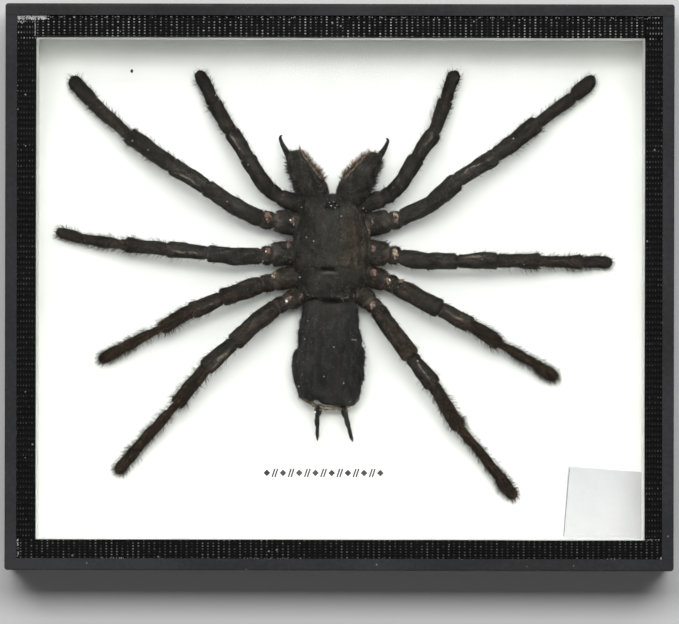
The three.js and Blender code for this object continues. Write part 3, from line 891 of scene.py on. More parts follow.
FANG_LEFT = [
    [-12.4, 32.6, 5.5, 1.0, 1.0], [-13.3, 34.1, 5.0, 0.9, 0.9], [-14.3, 35.8, 4.4, 0.68, 0.72],
    [-15.0, 37.3, 3.8, 0.5, 0.55], [-15.25, 38.4, 3.3, 0.38, 0.4], [-15.0, 38.85, 3.0, 0.22, 0.24],
    [-14.6, 38.8, 2.8, 0.05, 0.05],
]
FANG_RIGHT = [
    [9.3, 32.3, 5.5, 1.0, 1.0], [10.3, 33.8, 5.0, 0.9, 0.9], [11.3, 35.3, 4.4, 0.68, 0.72],
    [12.0, 36.7, 3.8, 0.5, 0.55], [12.3, 37.7, 3.3, 0.38, 0.4], [12.05, 38.15, 3.0, 0.22, 0.24],
    [11.65, 38.1, 2.8, 0.05, 0.05],
]
SPINNERET_LEFT = [
    [-5.2, -30.0, 4.4, 0.70, 0.70], [-5.4, -31.9, 4.6, 0.75, 0.70], [-5.6, -33.2, 4.9, 0.48, 0.48],
    [-5.7, -34.6, 5.0, 0.55, 0.53], [-5.6, -35.6, 5.0, 0.37, 0.37], [-5.6, -37.2, 5.0, 0.40, 0.40],
    [-5.6, -38.5, 5.0, 0.26, 0.26], [-5.6, -39.1, 5.0, 0.09, 0.09],
]
SPINNERET_RIGHT = [
    [1.0, -30.0, 4.4, 0.70, 0.70], [1.3, -31.9, 4.6, 0.79, 0.70], [1.8, -33.6, 4.9, 0.53, 0.53],
    [2.2, -35.0, 5.0, 0.60, 0.57], [2.4, -35.9, 5.0, 0.40, 0.40], [2.8, -37.3, 5.0, 0.42, 0.42],
    [3.2, -38.7, 5.0, 0.28, 0.28], [3.4, -39.3, 5.0, 0.09, 0.09],
]

LEG = ("coxa", "trochanter", "femur_near", "femur_far", "patella", "tibia", "metatarsus", "tarsus")
PALP = ("coxa", "trochanter", "femur_near", "femur_far", "patella", "tibia", "tarsus")

# How full each stretch is along its length: [share of the length, share of its radius].
FULLNESS = {
    "coxa": [[0, 0.95], [0.3, 1.0], [0.75, 1.0], [0.94, 0.95], [1, 0.84]],
    "trochanter": [[0, 0.84], [0.2, 0.98], [0.7, 1.02], [0.92, 0.96], [1, 0.82]],
    "femur_near": [[0, 0.8], [0.1, 0.92], [0.4, 0.98], [1, 1.0]],
    "femur_far": [[0, 1.0], [0.6, 1.02], [0.9, 1.07], [0.975, 1.0], [1, 0.76]],
    "patella": [[0, 0.76], [0.05, 0.92], [0.3, 0.97], [0.8, 1.06], [0.96, 1.04], [1, 0.76]],
    "tibia": [[0, 0.76], [0.04, 0.92], [0.3, 0.97], [0.8, 1.05], [0.97, 1.1], [1, 0.7]],
    "metatarsus": [[0, 0.82], [0.04, 0.92], [0.4, 0.96], [0.85, 1.02], [0.97, 1.08], [1, 0.74]],
    "tarsus": [[0, 0.72], [0.07, 0.98], [0.45, 1.06], [0.8, 1.0], [0.93, 0.8], [0.98, 0.55], [1, 0.3]],
}

# Limbs from the body outwards: the root, then each joint [x, y, height, radius of the stretch
# that ends there].
LIMBS = {
    "palp_left": [
        [-7.5, 20.2, 5.0], [-15.4, 23.0, 6.2, 2.2], [-18.2, 24.9, 7.0, 1.85], [-20.9, 28.2, 8.5, 1.95],
        [-23.5, 33.1, 8.5, 1.9], [-27.9, 39.8, 6.5, 1.8], [-32.3, 47.0, 4.0, 1.7],
        [-36.1, 55.2, 2.0, 1.55],
    ],
    "palp_right": [
        [4.2, 20.2, 5.0], [11.0, 22.8, 6.2, 2.2], [13.3, 24.1, 7.0, 1.85], [15.8, 26.8, 8.5, 1.95],
        [19.7, 33.2, 8.5, 1.9], [24.1, 39.6, 6.5, 1.8], [27.1, 47.9, 4.0, 1.7], [29.4, 55.4, 2.0, 1.55],
    ],
    "leg_1_left": [
        [-9.4, 15.8, 5.6], [-16.6, 17.0, 6.0, 2.9], [-19.9, 17.3, 6.5, 2.2], [-27.9, 21.2, 9.0, 2.2],
        [-34.0, 25.6, 10.0, 2.1], [-42.9, 31.0, 9.0, 2.0], [-54.1, 38.9, 6.0, 2.0],
        [-63.4, 47.2, 3.2, 1.68], [-68.7, 53.4, 1.6, 1.7],
    ],
    "leg_1_right": [
        [6.1, 15.8, 5.6], [12.7, 17.1, 6.0, 2.9], [15.5, 17.4, 6.5, 2.2], [23.3, 21.4, 9.0, 2.1],
        [30.0, 27.3, 10.0, 2.1], [39.7, 33.7, 9.0, 1.9], [50.5, 42.1, 6.0, 2.0],
        [59.6, 48.8, 3.2, 1.65], [65.2, 54.1, 1.6, 1.75],
    ],
    "leg_2_left": [
        [-10.4, 8.8, 5.6], [-17.3, 8.3, 6.0, 3.0], [-19.9, 8.0, 6.5, 2.3], [-27.1, 7.8, 9.0, 2.1],
        [-33.7, 8.8, 10.0, 2.0], [-44.0, 9.7, 8.5, 1.9], [-54.5, 10.8, 5.5, 1.6],
        [-65.9, 12.2, 2.8, 1.38], [-72.5, 14.2, 1.4, 1.4],
    ],
    "leg_2_right": [
        [6.8, 9.0, 5.6], [12.4, 8.5, 6.0, 3.0], [15.2, 7.8, 6.5, 2.3], [21.9, 6.6, 9.0, 2.1],
        [30.0, 6.8, 10.0, 2.0], [40.3, 6.9, 8.5, 1.9], [51.1, 6.8, 5.5, 1.7], [62.3, 6.6, 2.8, 1.6],
        [69.7, 6.7, 1.4, 1.45],
    ],
    "leg_3_left": [
        [-10.0, 3.4, 5.6], [-16.6, 1.5, 6.0, 2.6], [-19.9, 0.7, 6.5, 2.2], [-25.2, -0.9, 9.0, 2.2],
        [-30.1, -2.8, 9.5, 2.1], [-37.8, -6.1, 8.0, 1.9], [-45.7, -10.5, 5.0, 1.62],
        [-55.0, -15.4, 2.6, 1.2], [-61.3, -18.9, 1.4, 1.4],
    ],
    "leg_3_right": [
        [6.4, 3.5, 5.6], [11.9, 1.6, 6.0, 2.6], [14.2, 0.6, 6.5, 2.2], [19.9, -2.5, 9.0, 2.2],
        [25.7, -5.5, 9.5, 2.1], [33.5, -9.4, 8.0, 1.9], [40.9, -14.3, 5.0, 1.6],
        [49.8, -19.4, 2.6, 1.25], [55.6, -23.1, 1.4, 1.45],
    ],
    "leg_4_left": [
        [-8.5, -1.3, 5.2], [-13.7, -4.0, 5.8, 2.3], [-16.1, -5.0, 6.5, 2.0], [-21.3, -8.8, 9.5, 2.2],
        [-27.0, -14.3, 10.0, 2.1], [-34.2, -20.7, 8.5, 1.9], [-41.7, -30.0, 5.5, 1.58],
        [-52.0, -41.6, 2.8, 1.3], [-56.8, -47.3, 1.4, 1.4],
    ],
    "leg_4_right": [
        [4.8, -1.3, 5.2], [8.0, -4.0, 5.8, 2.3], [9.4, -5.4, 6.5, 2.0], [13.4, -10.9, 9.5, 2.2],
        [18.3, -17.7, 10.0, 2.1], [24.0, -24.9, 8.5, 1.9], [30.7, -35.8, 5.5, 1.62],
        [40.8, -48.1, 2.8, 1.3], [44.9, -54.0, 1.4, 1.5],
    ],
}
RING_STEP = 0.45  # millimetres between a limb's rings
KINK_SMOOTHING = 5
FOOT_TRIM = -0.06  # added to the radii of metatarsus and tarsus
LIMB_FILL = 0.08  # added to the radii of the other stretches
LIMB_FLATNESS = 0.94
SHIN = 6  # the stretch where a limb has turned brown: a leg's metatarsus or a palp's tarsus

# Thin skin at a limb's joints: the place along the limb and how far the skin reaches from it.
MEMBRANES = ((1.0, 0.32), (0.02, 0.25), (2.0, 0.12))

BODY_RINGS = 110
BODY_SIDES = 96
LIMB_SIDES = 28


def limb_stations(limb, kinds):
    """Close rings along a limb. The last value of each is the stretch's number plus the share of
    it that is passed."""
    places, sizes, marks = [], [], []
    for number, kind in enumerate(kinds):
        start, end = np.array(limb[number][:3]), np.array(limb[number + 1][:3])
        radius = limb[number + 1][3] + (FOOT_TRIM if kind in ("metatarsus", "tarsus") else LIMB_FILL)
        steps = max(6, round(float(np.linalg.norm(end - start)) / RING_STEP))
        shares, fulls = zip(*FULLNESS[kind])
        for i in range(steps + (number == len(kinds) - 1)):
            share = i / steps
            places.append(start + (end - start) * share)
            sizes.append(radius * float(np.interp(share, shares, fulls)))
            marks.append(number + share)
    line = np.array(places)
    for _ in range(KINK_SMOOTHING):
        line[1:-1] = (line[:-2] + 2 * line[1:-1] + line[2:]) / 4
    rings = zip(line.tolist(), sizes, marks)
    return [[*place, size, size * LIMB_FLATNESS, mark] for place, size, mark in rings]


def is_palp(name):
    return name.startswith("palp")


def is_hind(name):
    return name.startswith(("leg_3", "leg_4"))


def build_limb(name, seed):
    """A limb with its thin skin marked at the joints, and browner towards the foot."""
    kinds = PALP if is_palp(name) else LEG
    bm, layers = lofted(limb_stations(LIMBS[name], kinds), LIMB_SIDES)
    warmth = 1.0 if is_hind(name) else 0.45
    softness = 0.5 if is_palp(name) else 1.3
    for v in bm.verts:
        along, top = v[layers["along"]], v[layers["top"]]
        near = max(max(0.0, 1 - abs(along - spot) / reach) for spot, reach in MEMBRANES)
        v[layers["bare"]] = min(1.0, softness * near) * clamp(top * 1.6 + 0.1)
        v[layers["warm"]] = warmth * clamp((along - SHIN + 1.3) / 1.3)
    roughen(bm, 0.34, 4.2, seed + 2)
    roughen(bm, 0.16, 2.4, seed)
    roughen(bm, 0.1, 0.9, seed + 5)
    return piece(name, bm, CUTICLE, [name])


FOVEA_X = -2.8  # the pit in the middle of the carapace
FOVEA_Y = 4.6


def build_carapace():
    """The shield over the front body, with its relief, and its pale margin marked."""
    bm, layers = lofted(spaced(CARAPACE, BODY_RINGS), BODY_SIDES, shield_section)
    parting = mm(FOVEA_X, FOVEA_Y - 0.1, 0)
    for v in bm.verts:
        outward = Vector((v.co.x - parting.x, v.co.y - parting.y, 0.0))
        flow = Vector((0, 1, 0))
        if outward.length:
            flow = (outward.normalized() + Vector((0, 0.5, 0))).normalized()
        v[layers["flow"]] = flow
        top = v[layers["top"]]
        if top >= 0.05:
            v.co.z += relief(v.co.x / MM, v.co.y / MM) * min(1.0, top * 3) * MM
    for v in bm.verts:
        y, top = v.co.y / MM, v[layers["top"]]
        edge = max(0.0, 1 - abs(top - 0.06) / 0.16) if 0 < y < 20 else 0.0
        rim = edge * (1.0 if v[layers["side"]] > 0 else 0.35)
        front = clamp((y - 21.2) / 1.2) * max(0.0, 1 - abs(top - 0.3) / 0.35)
        v[layers["margin"]] = max(rim, front)
    roughen(bm, 0.22, 2.4, 3)
    roughen(bm, 0.12, 0.8, 8)
    return piece("carapace", bm, SHIELD, ["carapace"])


def hill(x, y, centre_x, centre_y, reach_x, reach_y):
    return math.exp(-(((x - centre_x) / reach_x) ** 2 + ((y - centre_y) / reach_y) ** 2))


def relief(x, y):
    """How far the carapace rises or sinks: the eye mound, the fovea's pit and the furrows that
    run out from it between the legs."""
    height = 0.9 * hill(x, y, -1.8, 21.0, 1.8, 1.2)
    height += 0.4 * hill(x, y, BODY_X, 16.0, 5.5, 6.0)
    right, ahead = x - FOVEA_X, y - FOVEA_Y
    height -= 1.0 * hill(x, y + 0.09 * right ** 2, FOVEA_X, FOVEA_Y, 2.0, 0.42)
    away = math.hypot(right, ahead)
    heading = math.degrees(math.atan2(ahead, abs(right)))
    for furrow in (-38, 4, 40, 66):
        off = math.radians(heading - furrow) * away
        height -= 0.2 * math.exp(-((off / 0.55) ** 2)) * min(1.0, away / 3.5) * (away < 13.5)
    return height


def highest(skins, x, y):
    """The height of whatever skin is highest at a place, or of the leg bases where none is."""
    hits = [skin.ray_cast(mm(x, y, GLASS_TOP), DOWN) for skin in skins]
    return max([spot.z / MM for hit, spot, _, _ in hits if hit] or [BOARD_TOP + 5])


# Eyes, and the pale specks over them that are painted glints in place of the lamp's reflection: [x, y,
# size].
EYES = [
    (-2.3, 21.5, 0.46), (-1.3, 21.5, 0.46), (-3.2, 21.4, 0.46), (-0.4, 21.4, 0.46),
    (-3.3, 20.55, 0.42), (-0.3, 20.55, 0.42), (-2.45, 20.5, 0.38), (-1.15, 20.5, 0.38),
]
PAINTED_EYE_GLINTS = [
    (-2.6, 21.6, 0.3), (-1.5, 21.75, 0.24), (-2.2, 20.75, 0.34), (-0.7, 20.95, 0.2),
    (-1.2, 20.3, 0.26),
]


def build_eyes(carapace):
    """Eight small eyes in two rows on their mound, with pale specks over them as painted glints."""
    bm = bmesh.new()
    for x, y, size in EYES:
        made = bmesh.ops.create_icosphere(bm, subdivisions=3, radius=size * MM)["verts"]
        height = highest([carapace], x, y) + size * 0.1
        bmesh.ops.translate(bm, vec=mm(x, y, height), verts=made)
    # painted glints: pale specks laid over the eyes where the lamp's reflection would show
    glints = [[x, y, highest([carapace], x, y) + 0.8, size] for x, y, size in PAINTED_EYE_GLINTS]
    flecks("painted_eye_glints", glints, FLECK, 17)
    return piece("eyes", bm, HORN)


def build_abdomen():
    """The abdomen, bare low down at its rear and notched on both flanks."""
    bm, layers = lofted(spaced(ABDOMEN, BODY_RINGS), BODY_SIDES, shield_section)
    middle = -2.6
    for v in bm.verts:
        x, y = v.co.x / MM, v.co.y / MM
        v[layers["flow"]] = Vector((0, -1, 0)) + Vector((0.25 * (x - middle) / 9, 0, 0))
        low = max(0.0, 1 - max(0.0, v[layers["top"]] - 0.1) / 0.4)
        v[layers["bare"]] = low * clamp((-28.0 - y) / 1.3)
        notch = -15.8 if x < middle else -14.75
        depth = 0.6 * math.exp(-(((y - notch) / 0.5) ** 2))
        v.co.x -= math.copysign(depth, x - middle) * abs(v[layers["side"]]) ** 4 * MM
    roughen(bm, 0.3, 6.0, 21)
    roughen(bm, 0.2, 1.6, 25)
    return piece("abdomen", bm, VELVET, ["abdomen"])


# Tapered parts: name, stations, sides, rings, material, slot, depth of the dents and seed.
TAPERED = [
    ("chelicera_left", CHELICERA_LEFT, 40, 60, CUTICLE, "cuticle", 0.25, 31),
    ("chelicera_right", CHELICERA_RIGHT, 40, 60, CUTICLE, "cuticle", 0.25, 33),
    ("fang_left", FANG_LEFT, 20, 40, HORN, "fang", 0.02, 35),
    ("fang_right", FANG_RIGHT, 20, 40, HORN, "fang", 0.02, 36),
    ("spinneret_left", SPINNERET_LEFT, 20, 50, VELVET, "velvet", 0.1, 37),
    ("spinneret_right", SPINNERET_RIGHT, 20, 50, VELVET, "velvet", 0.1, 38),
]


def build_tapered(name, stations, sides, rings, material, slot, dents, seed):
    bm, _ = lofted(spaced(stations, rings), sides)
    roughen(bm, dents, 1.2, seed)
    return piece(name, bm, material, [name])


# ---------------------------------------------------------------- hair

# How a coat's hairs stand: length and width in millimetres, lean from the skin's normal in
# radians, how far single hairs stray from that, and how far each bends over towards its tip.
CARAPACE_PILE = (0.7, 0.1, 1.2, 0.22, 0.0)
ABDOMEN_PILE = (0.5, 0.1, 1.25, 0.16, 0.0)
ABDOMEN_BRISTLES = (1.0, 0.12, 0.9, 0.3, 0.3)
CHELICERA_PILE = (0.8, 0.1, 1.1, 0.25, 0.0)
CHELICERA_FRINGE = (2.0, 0.15, 0.35, 0.4, 0.3)
CHELICERA_LINE = (0.8, 0.11, 1.25, 0.1, 0.2)
CHELICERA_FLANK = (1.7, 0.17, 0.45, 0.35, 0.3)
SPINNERET_PILE = (0.6, 0.08, 1.1, 0.3, 0.0)
LIMB_PILE = (0.62, 0.1, 1.33, 0.12, 0.0)
LIMB_BRISTLES = (1.4, 0.12, 0.8, 0.3, 0.5)
LIMB_PAD = (0.32, 0.1, 0.8, 0.3, 0.0)
LIMB_FUZZ = (2.1, 0.08, 0.6, 0.35, 0.4)

ROOT_DEPTH = 0.05  # how deep the hairs stand in the skin, in millimetres
STRAIGHT_HAIR = [(0, 2, 1), (0, 1, 3), (1, 2, 3), (2, 0, 3)]
BENT_HAIR = [(0, 2, 1), (0, 1, 4), (0, 4, 3), (1, 2, 5), (1, 5, 4), (2, 0, 3), (2, 3, 5),
             (3, 4, 6), (4, 5, 6), (5, 3, 6)]


def hairs(name, skin, count, coat, material, seed, weight=None, fade=0.0):
    """A coat of hair on a skin, as one mesh of thin spikes. Each grows from the skin, leans from
    its normal towards the way the hair lies there and may bend over further. weight says where
    the hair is dense. On a limb, fade is how much of the light hair is gone towards the foot."""
    length, width, lean, spread, bent = coat
    rng = np.random.default_rng(seed)
    mesh = skin.data
    mesh.calc_loop_triangles()
    corners = read(mesh.loop_triangles, "vertices", 3, np.int32)
    points = read(mesh.vertices, "co", 3)
    normals = read(mesh.vertices, "normal", 3)
    flows = read(mesh.attributes["flow"].data, "vector", 3)
    values = {a: read(mesh.attributes[a].data, "value", 1) for a in ("along", "side", "top", "bare")}
    areas = np.linalg.norm(np.cross(points[corners[:, 1]] - points[corners[:, 0]],
                                    points[corners[:, 2]] - points[corners[:, 0]]), axis=1)
    if weight is not None:
        share = weight(points / MM, values)
        areas = areas * share[corners].mean(axis=1)
    chosen = rng.choice(len(corners), count, p=areas / areas.sum())
    a, b = rng.random(count), rng.random(count)
    a, b = np.where(a + b > 1, 1 - a, a), np.where(a + b > 1, 1 - b, b)
    parts = np.stack([1 - a - b, a, b], axis=1)[:, :, None]
    root = (points[corners[chosen]] * parts).sum(axis=1)
    normal = unit((normals[corners[chosen]] * parts).sum(axis=1))
    flow = unit((flows[corners[chosen]] * parts).sum(axis=1))
    flow = unit(flow - normal * (flow * normal).sum(axis=1, keepdims=True))
    stray = rng.normal(0, spread, (count, 3))
    way = unit(normal * math.cos(lean) + flow * math.sin(lean) + stray)
    tip_way = unit(way + flow * bent + stray * 0.5)
    size = (length * rng.uniform(0.6, 1.2, count) * MM)[:, None]
    at_root = {a: v[corners[chosen, 0]] for a, v in values.items()}
    to_foot = np.clip(at_root["along"] - values["along"].max() + 1.7, 0, 1)
    streak = streaks(root / MM, at_root, seed) * (1 - fade * to_foot)
    tint = np.clip(rng.random(count) ** 1.4 * streak, 0, 1)
    thick = (width * rng.uniform(0.7, 1.1, count) * (1 + 0.5 * tint) * MM / 2)[:, None]
    across = unit(np.cross(way, rng.normal(0, 1, (count, 3))))
    beside = np.cross(way, across)
    ring = [across, -0.5 * across + 0.866 * beside, -0.5 * across - 0.866 * beside]
    foot = root - normal * ROOT_DEPTH * MM
    verts = [foot + r * thick for r in ring]
    if bent:
        middle = root + way * size * 0.5
        verts += [middle + r * thick * 0.75 for r in ring] + [middle + tip_way * size * 0.5]
    else:
        verts += [root + way * size]
    cloud = np.stack(verts, axis=1).reshape(-1, 3)
    starts = (np.arange(count) * len(verts))[:, None, None]
    faces = (np.array(BENT_HAIR if bent else STRAIGHT_HAIR)[None] + starts).reshape(-1, 3)
    made = bpy.data.meshes.new(name)
    made.from_pydata(cloud.tolist(), [], faces.tolist())
    tints = made.attributes.new("tint", "FLOAT", "POINT")
    tints.data.foreach_set("value", np.repeat(tint, len(verts)))
    return settle(name, made, material)


def streaks(points, values, seed):
    """How light the hair is at each place: drawn out along a limb, in blotches on the body. On a limb it
    also carries painted shade: darker on the flanks and underside, lighter on top.
    """
    turned = np.arctan2(values["top"], values["side"])
    if values["along"].max() > 1.5:
        spots = np.stack([values["along"] * 2.2, turned * 1.9, np.full(len(points), seed * 1.7)], axis=1)
        # painted shade: limb hair darker on the flanks and underside than on top, as the lamp above would
        # light it
        shade = np.clip(0.3 + 0.85 * values["top"], 0.2, 1.15)
    else:
        spots = points * (0.9, 0.35, 0.9) + seed
        shade = 1.0
    rise = [noise.noise(Vector(spot)) + 0.5 * noise.noise(Vector(spot * 2.7)) for spot in spots]
    return np.clip(0.55 + 2.2 * np.array(rise), 0.05, 2.2) * shade


def read(items, field, width, kind=np.float32):
    """A field of every item, as an array with width columns."""
    values = np.empty(len(items) * width, kind)
    items.foreach_get(field, values)
    return values.reshape(-1, width) if width > 1 else values


def unit(vectors):
    return vectors / np.maximum(np.linalg.norm(vectors, axis=1, keepdims=True), 1e-9)


def haired(points, values):
    """Hair everywhere but on bare membrane and at the waist, whose skin is painted black as shade, and
    thicker above than below.
    """
    waist = np.hypot((points[:, 0] + 2.2) / 3.4, (points[:, 1] + 3.2) / 1.1) < 1
    covered = 1 - np.clip(values["bare"] * 1.5, 0, 0.97)
    return covered * np.where(values["top"] > -0.4, 1.0, 0.35) * np.where(waist, 0.06, 1.0)


def brown_share(points, values):
    """The browner side of the carapace, fading out round its edge."""
    far = np.hypot((points[:, 0] - 3.6) / 5.4, (points[:, 1] - 10.5) / 9.5)
    ruffled = far + [0.35 * noise.noise(Vector(spot * 0.6)) for spot in points]
    return haired(points, values) * np.clip(1.6 - 1.5 * ruffled, 0.04, 1.0)


def grey_share(points, values):
    """The rest of the carapace."""
    return haired(points, values) * (1 - 0.85 * brown_share(points, values))


def flanks(points, values):
    """Only round the outline that is seen from above."""
    return haired(points, values) * np.where(np.abs(values["top"]) < 0.3, 1.0, 0.04)


def limb_coat(points, values):
    """Hair everywhere but on the knee's smear."""
    knee = (values["along"] > 4.05) & (values["along"] < 4.95)
    smear = knee & (np.abs(values["side"] - 0.25) < 0.2) & (values["top"] > 0)
    return haired(points, values) * np.where(smear, 0.12, 1.0)


def outer_stretches(points, values):
    """Densest beyond the knee and at the limb's first joints."""
    dense = (values["along"] > 5.0) | (values["along"] < 1.8)
    return haired(points, values) * np.where(dense, 1.0, 0.35)


def pads(points, values):
    """The dense pad under and round the foot, which is a limb's last stretch."""
    along = values["along"]
    return np.where((along > along.max() - 1.0) & (values["top"] < 0.55), 1.0, 0.0)


def shins(points, values):
    """Long fuzz from the knee outwards, densest at the feet and along the flanks."""
    flank = 0.35 + 0.65 * np.abs(values["side"])
    return haired(points, values) * flank * np.clip((values["along"] - 4.3) / 2.0, 0.0, 1.0)


def toward_pair(points, values):
    """How far a place on a chelicera faces the other one: 1 at the very edge."""
    return np.where(points[:, 0] < BODY_X, -values["side"], values["side"])


def inner_edge(points, values):
    """The side of a chelicera that faces its pair, and its front end."""
    facing = toward_pair(points, values)
    ends = (values["along"] > 0.93) & (facing > -0.3)
    edge = (facing > 0.9) | ends
    return np.where(edge & (values["along"] > 0.3) & (np.abs(values["top"]) < 0.4), 1.0, 0.0)


def inner_line(points, values):
    """A thin line along the top of a chelicera's inner edge."""
    facing, along = toward_pair(points, values), values["along"]
    line = (facing > 0.87) & (facing < 0.94) & (values["top"] > 0.2)
    return np.where(line & (along > 0.35) & (along < 0.95), 1.0, 0.0)


def outer_flank(points, values):
    """The side of a chelicera that faces away from its pair."""
    outside = toward_pair(points, values) < -0.8
    return np.where(outside & (values["along"] > 0.2), 1.0, 0.0)


# A chelicera's coats: end of the name, hairs, how they stand, colour, seed and where.
CHELICERA_COATS = [
    ("pile", 4500, CHELICERA_PILE, HAIR_GREY, 53, haired),
    ("fringe", 210, CHELICERA_FRINGE, HAIR_RUST, 55, inner_edge),
    ("line", 190, CHELICERA_LINE, HAIR_CREAM, 153, inner_line),
    ("flank", 170, CHELICERA_FLANK, HAIR_BLACK, 155, outer_flank),
]

# Long hairs on each kind of limb, and how much of its light hair is gone towards the foot.
FUZZ = {"palp": 150, "leg_1": 330, "leg_2": 520, "leg_3": 900, "leg_4": 1000}
FADE = {"palp": 0.85, "leg_1": 0.8, "leg_2": 0.3, "leg_3": 0.0, "leg_4": 0.0}


def coat_body(carapace, abdomen, parts):
    hairs("carapace_pile", carapace, 10500, CARAPACE_PILE, HAIR_GREY, 50, grey_share)
    hairs("carapace_brown_pile", carapace, 3800, CARAPACE_PILE, HAIR_OLIVE, 49, brown_share)
    hairs("abdomen_pile", abdomen, 34000, ABDOMEN_PILE, HAIR_BLACK, 51, haired)
    hairs("abdomen_bristles", abdomen, 900, ABDOMEN_BRISTLES, HAIR_BLACK, 52, flanks)
    for i, name in enumerate(("chelicera_left", "chelicera_right")):
        for end, count, coat, colour, seed, where in CHELICERA_COATS:
            hairs(f"{name}_{end}", parts[name], count, coat, colour, seed + i, where)
    for i, name in enumerate(("spinneret_left", "spinneret_right")):
        hairs(name + "_pile", parts[name], 900, SPINNERET_PILE, HAIR_BLACK, 57 + i)


def coat_limb(name, skin, number):
    """A limb's four coats: short pile, bristles, the foot's pad and long fuzz."""
    palp = is_palp(name)
    kind = name.rsplit("_", 1)[0]
    short = HAIR_BROWN if is_hind(name) else HAIR_DARK if palp else HAIR_GREY
    long = HAIR_DARK if kind in ("palp", "leg_1") else HAIR_BROWN
    coats = [
        ("pile", 6500 if palp else 10500, LIMB_PILE, short, 100, limb_coat),
        ("bristles", 260 if palp else 460, LIMB_BRISTLES, long, 120, outer_stretches),
        ("pad", 1500, LIMB_PAD, long, 140, pads),
        ("fuzz", FUZZ[kind], LIMB_FUZZ, long, 170, shins),
    ]
    for end, count, coat, colour, seed, where in coats:
        hairs(f"{name}_{end}", skin, count, coat, colour, seed + number, where, FADE[kind])


# ---------------------------------------------------------------- soft skin and crumbs

# Soft skin between the leg bases: [x, y, width, length, turned, paleness], turned in degrees.
THIN_SKIN = [
    (-18.3, 17.6, 2.0, 3.6, 4, 0.2), (-12.1, 16.8, 1.7, 2.3, -8, 0.35), (14.3, 17.8, 2.0, 3.3, -4, 0.9),
    (8.4, 16.7, 1.0, 2.0, 6, 0.5), (7.5, 15.2, 1.0, 2.7, 0, 1.0), (8.6, 9.7, 2.0, 2.3, 0, 0.3),
    (14.3, 8.4, 2.0, 3.0, 5, 0.8), (-18.4, 9.0, 1.7, 2.7, -6, 0.05), (-13.1, 10.6, 2.0, 2.3, 0, 0.1),
    (-17.0, 2.5, 1.3, 3.3, -28, 0.8), (12.7, 1.3, 2.0, 2.7, 30, 0.25), (15.8, 1.3, 1.7, 2.0, 30, 0.4),
    (8.6, 3.5, 2.7, 2.0, 12, 0.1), (-13.1, -3.3, 1.5, 3.0, -36, 0.35), (-9.9, -2.3, 0.9, 2.7, -30, 0.3),
    (8.6, -4.6, 2.0, 2.7, 30, 0.45), (-6.1, -31.7, 0.9, 1.4, 8, 0.9), (1.8, -31.5, 0.9, 1.4, 20, 0.9),
]


def build_thin_skin(skins):
    """Low uneven blisters laid on whatever is highest at their place."""
    rng = np.random.default_rng(71)
    bm = bmesh.new()
    pale = bm.verts.layers.float.new("pale")
    for x, y, width, length, turned, paleness in THIN_SKIN:
        made = bmesh.ops.create_icosphere(bm, subdivisions=4, radius=0.5)["verts"]
        seed = rng.uniform(0, 50)
        for v in made:
            v[pale] = paleness
            v.co *= 1 + 0.8 * noise.noise(v.co * 3.5 + Vector((seed, 0, 0)))
        size = (width * 0.7 * MM, length * 0.8 * MM, 0.8 * MM)
        place = mm(x, y, highest(skins, x, y) - 0.2)
        set_down(bm, made, size, math.radians(turned), place)
    return piece("thin_skin", bm, SKIN)


# The pale fold under the abdomen's rear edge, from side to side, as [x, y].
REAR_FOLD = [
    (-9.9, -26.5), (-8.9, -28.2), (-6.8, -29.8), (-4.3, -30.7),
    (-1.5, -31.0), (1.1, -30.8), (3.4, -29.8), (5.2, -28.3),
]


def build_rear_margin():
    """The bare pale fold that shows below the abdomen's rear edge. Its ends are drawn out thin."""
    ends = (REAR_FOLD[0], REAR_FOLD[-1])
    stations = [[*spot, 4.6, 0.1 if spot in ends else 0.5, 0.35] for spot in REAR_FOLD]
    bm, _ = lofted(spaced(stations, 90), 14)
    pale = bm.verts.layers.float.new("pale")
    for v in bm.verts:
        v[pale] = 1.0
    roughen(bm, 0.35, 0.9, 44)
    return piece("rear_margin", bm, SKIN)


# Single crumbs of dried skin, most of them at the abdomen's torn flanks: [x, y, size].
CRUMBS = [
    (-8.9, -13.2, 0.5), (-8.1, -8.6, 0.4), (6.3, -14.4, 0.55), (6.6, -15.2, 0.45), (-4.9, -31.4, 0.4),
    (3.4, -13.2, 0.3), (4.2, -13.5, 0.26), (15.0, 0.1, 0.3), (11.2, -1.0, 0.3),
]


def lay_crumbs(skins):
    """Pale crumbs of dried skin: the single ones, and more along the carapace's rear edge."""
    rng = np.random.default_rng(19)
    spots = list(CRUMBS)
    for _ in range(34):
        x = -2.2 + math.copysign(rng.uniform(2.6, 6.8), rng.uniform(-1, 1))
        y = -3.4 + 0.045 * (x + 2.1) ** 2 + rng.normal(0, 0.3)
        spots.append((x, y, rng.uniform(0.12, 0.26)))
    crumbs = [[x, y, highest(skins, x, y) + 0.4, size] for x, y, size in spots]
    flecks("skin_crumbs", crumbs, CRUMB, 20, 0.7)


def build_spider():
    carapace = build_carapace()
    build_eyes(carapace)
    abdomen = build_abdomen()
    parts = {name: build_tapered(name, *rest) for name, *rest in TAPERED}
    coat_body(carapace, abdomen, parts)
    skins = [carapace, abdomen]
    for number, name in enumerate(LIMBS):
        limb = build_limb(name, 60 + 3 * number)
        coat_limb(name, limb, number)
        skins.append(limb)
    build_thin_skin(skins)
    build_rear_margin()
    lay_crumbs(skins)


# ---------------------------------------------------------------- the room

FLOOR_REACH = 4.0  # in metres, from the middle to each side
SKY = 0.04
LAMP_AIM = (0.0, 0.0, 0.02)

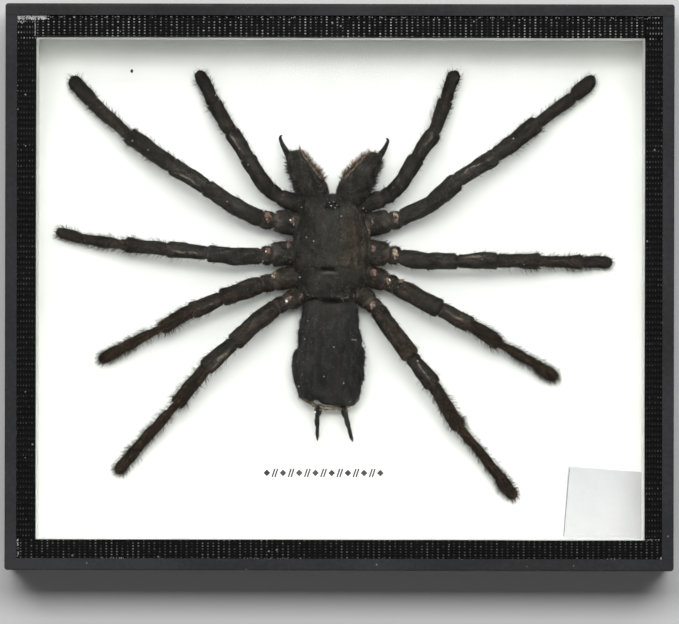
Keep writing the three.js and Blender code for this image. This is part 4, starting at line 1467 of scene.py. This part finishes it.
# The lamps: place and size in metres, and power in watts.
LAMPS = {
    "window_light": ((0.0, 0.665, 2.4), (1.7, 0.53), 33.0),
    "ceiling_light": ((0.0, 1.2, 1.2), (2.4, 1.08), 8.5),
    "near_light": ((0.0, -1.3, 1.1), (2.4, 0.9), 2.2),
}


def floor():
    """The pale table top that the frame lies on."""
    bm = bmesh.new()
    bmesh.ops.create_grid(bm, x_segments=1, y_segments=1, size=FLOOR_REACH)
    mesh = bpy.data.meshes.new("floor")
    bm.to_mesh(mesh)
    bm.free()
    made = bpy.data.objects.new("floor", mesh)
    bpy.context.scene.collection.objects.link(made)
    material, g, out = new_material("pale_floor")
    g.put(out["Base Color"], (0.93, 0.93, 0.93))
    g.put(out["Roughness"], 0.9)
    mesh.materials.append(material)


def lamp(name, place, size, power):
    """A broad lamp that faces the glass."""
    light = bpy.data.lights.new(name, "AREA")
    light.shape = "RECTANGLE"
    light.size, light.size_y = size
    light.energy = power
    made = bpy.data.objects.new(name, light)
    made.location = place
    made.rotation_euler = (Vector(LAMP_AIM) - Vector(place)).to_track_quat("-Z", "Y").to_euler()
    bpy.context.scene.collection.objects.link(made)


def room():
    world = bpy.data.worlds.new("soft_room")
    bpy.context.scene.world = world
    world.use_nodes = True
    sky = world.node_tree.nodes["Background"].inputs
    sky["Color"].default_value = (1.0, 1.0, 1.0, 1.0)
    sky["Strength"].default_value = SKY
    for name, (place, size, power) in LAMPS.items():
        lamp(name, place, size, power)
    bpy.context.scene.view_settings.view_transform = "Standard"


CAMERA_LENS = 459.2
CAMERA_SENSOR = 36.0
CAMERA_Y = -6.3
CAMERA_HEIGHT = 2232.0
CAMERA_TURN = 0.12  # in degrees


def camera():
    """Far off and square on to the front."""
    view = bpy.data.cameras.new("camera")
    view.lens = CAMERA_LENS
    view.sensor_width = CAMERA_SENSOR
    made = bpy.data.objects.new("camera", view)
    made.location = mm(0.0, CAMERA_Y, CAMERA_HEIGHT)
    made.rotation_euler = (0.0, 0.0, math.radians(CAMERA_TURN))
    bpy.context.scene.collection.objects.link(made)
    bpy.context.scene.camera = made


camera()
floor()
room()
build_frame()
build_spider()
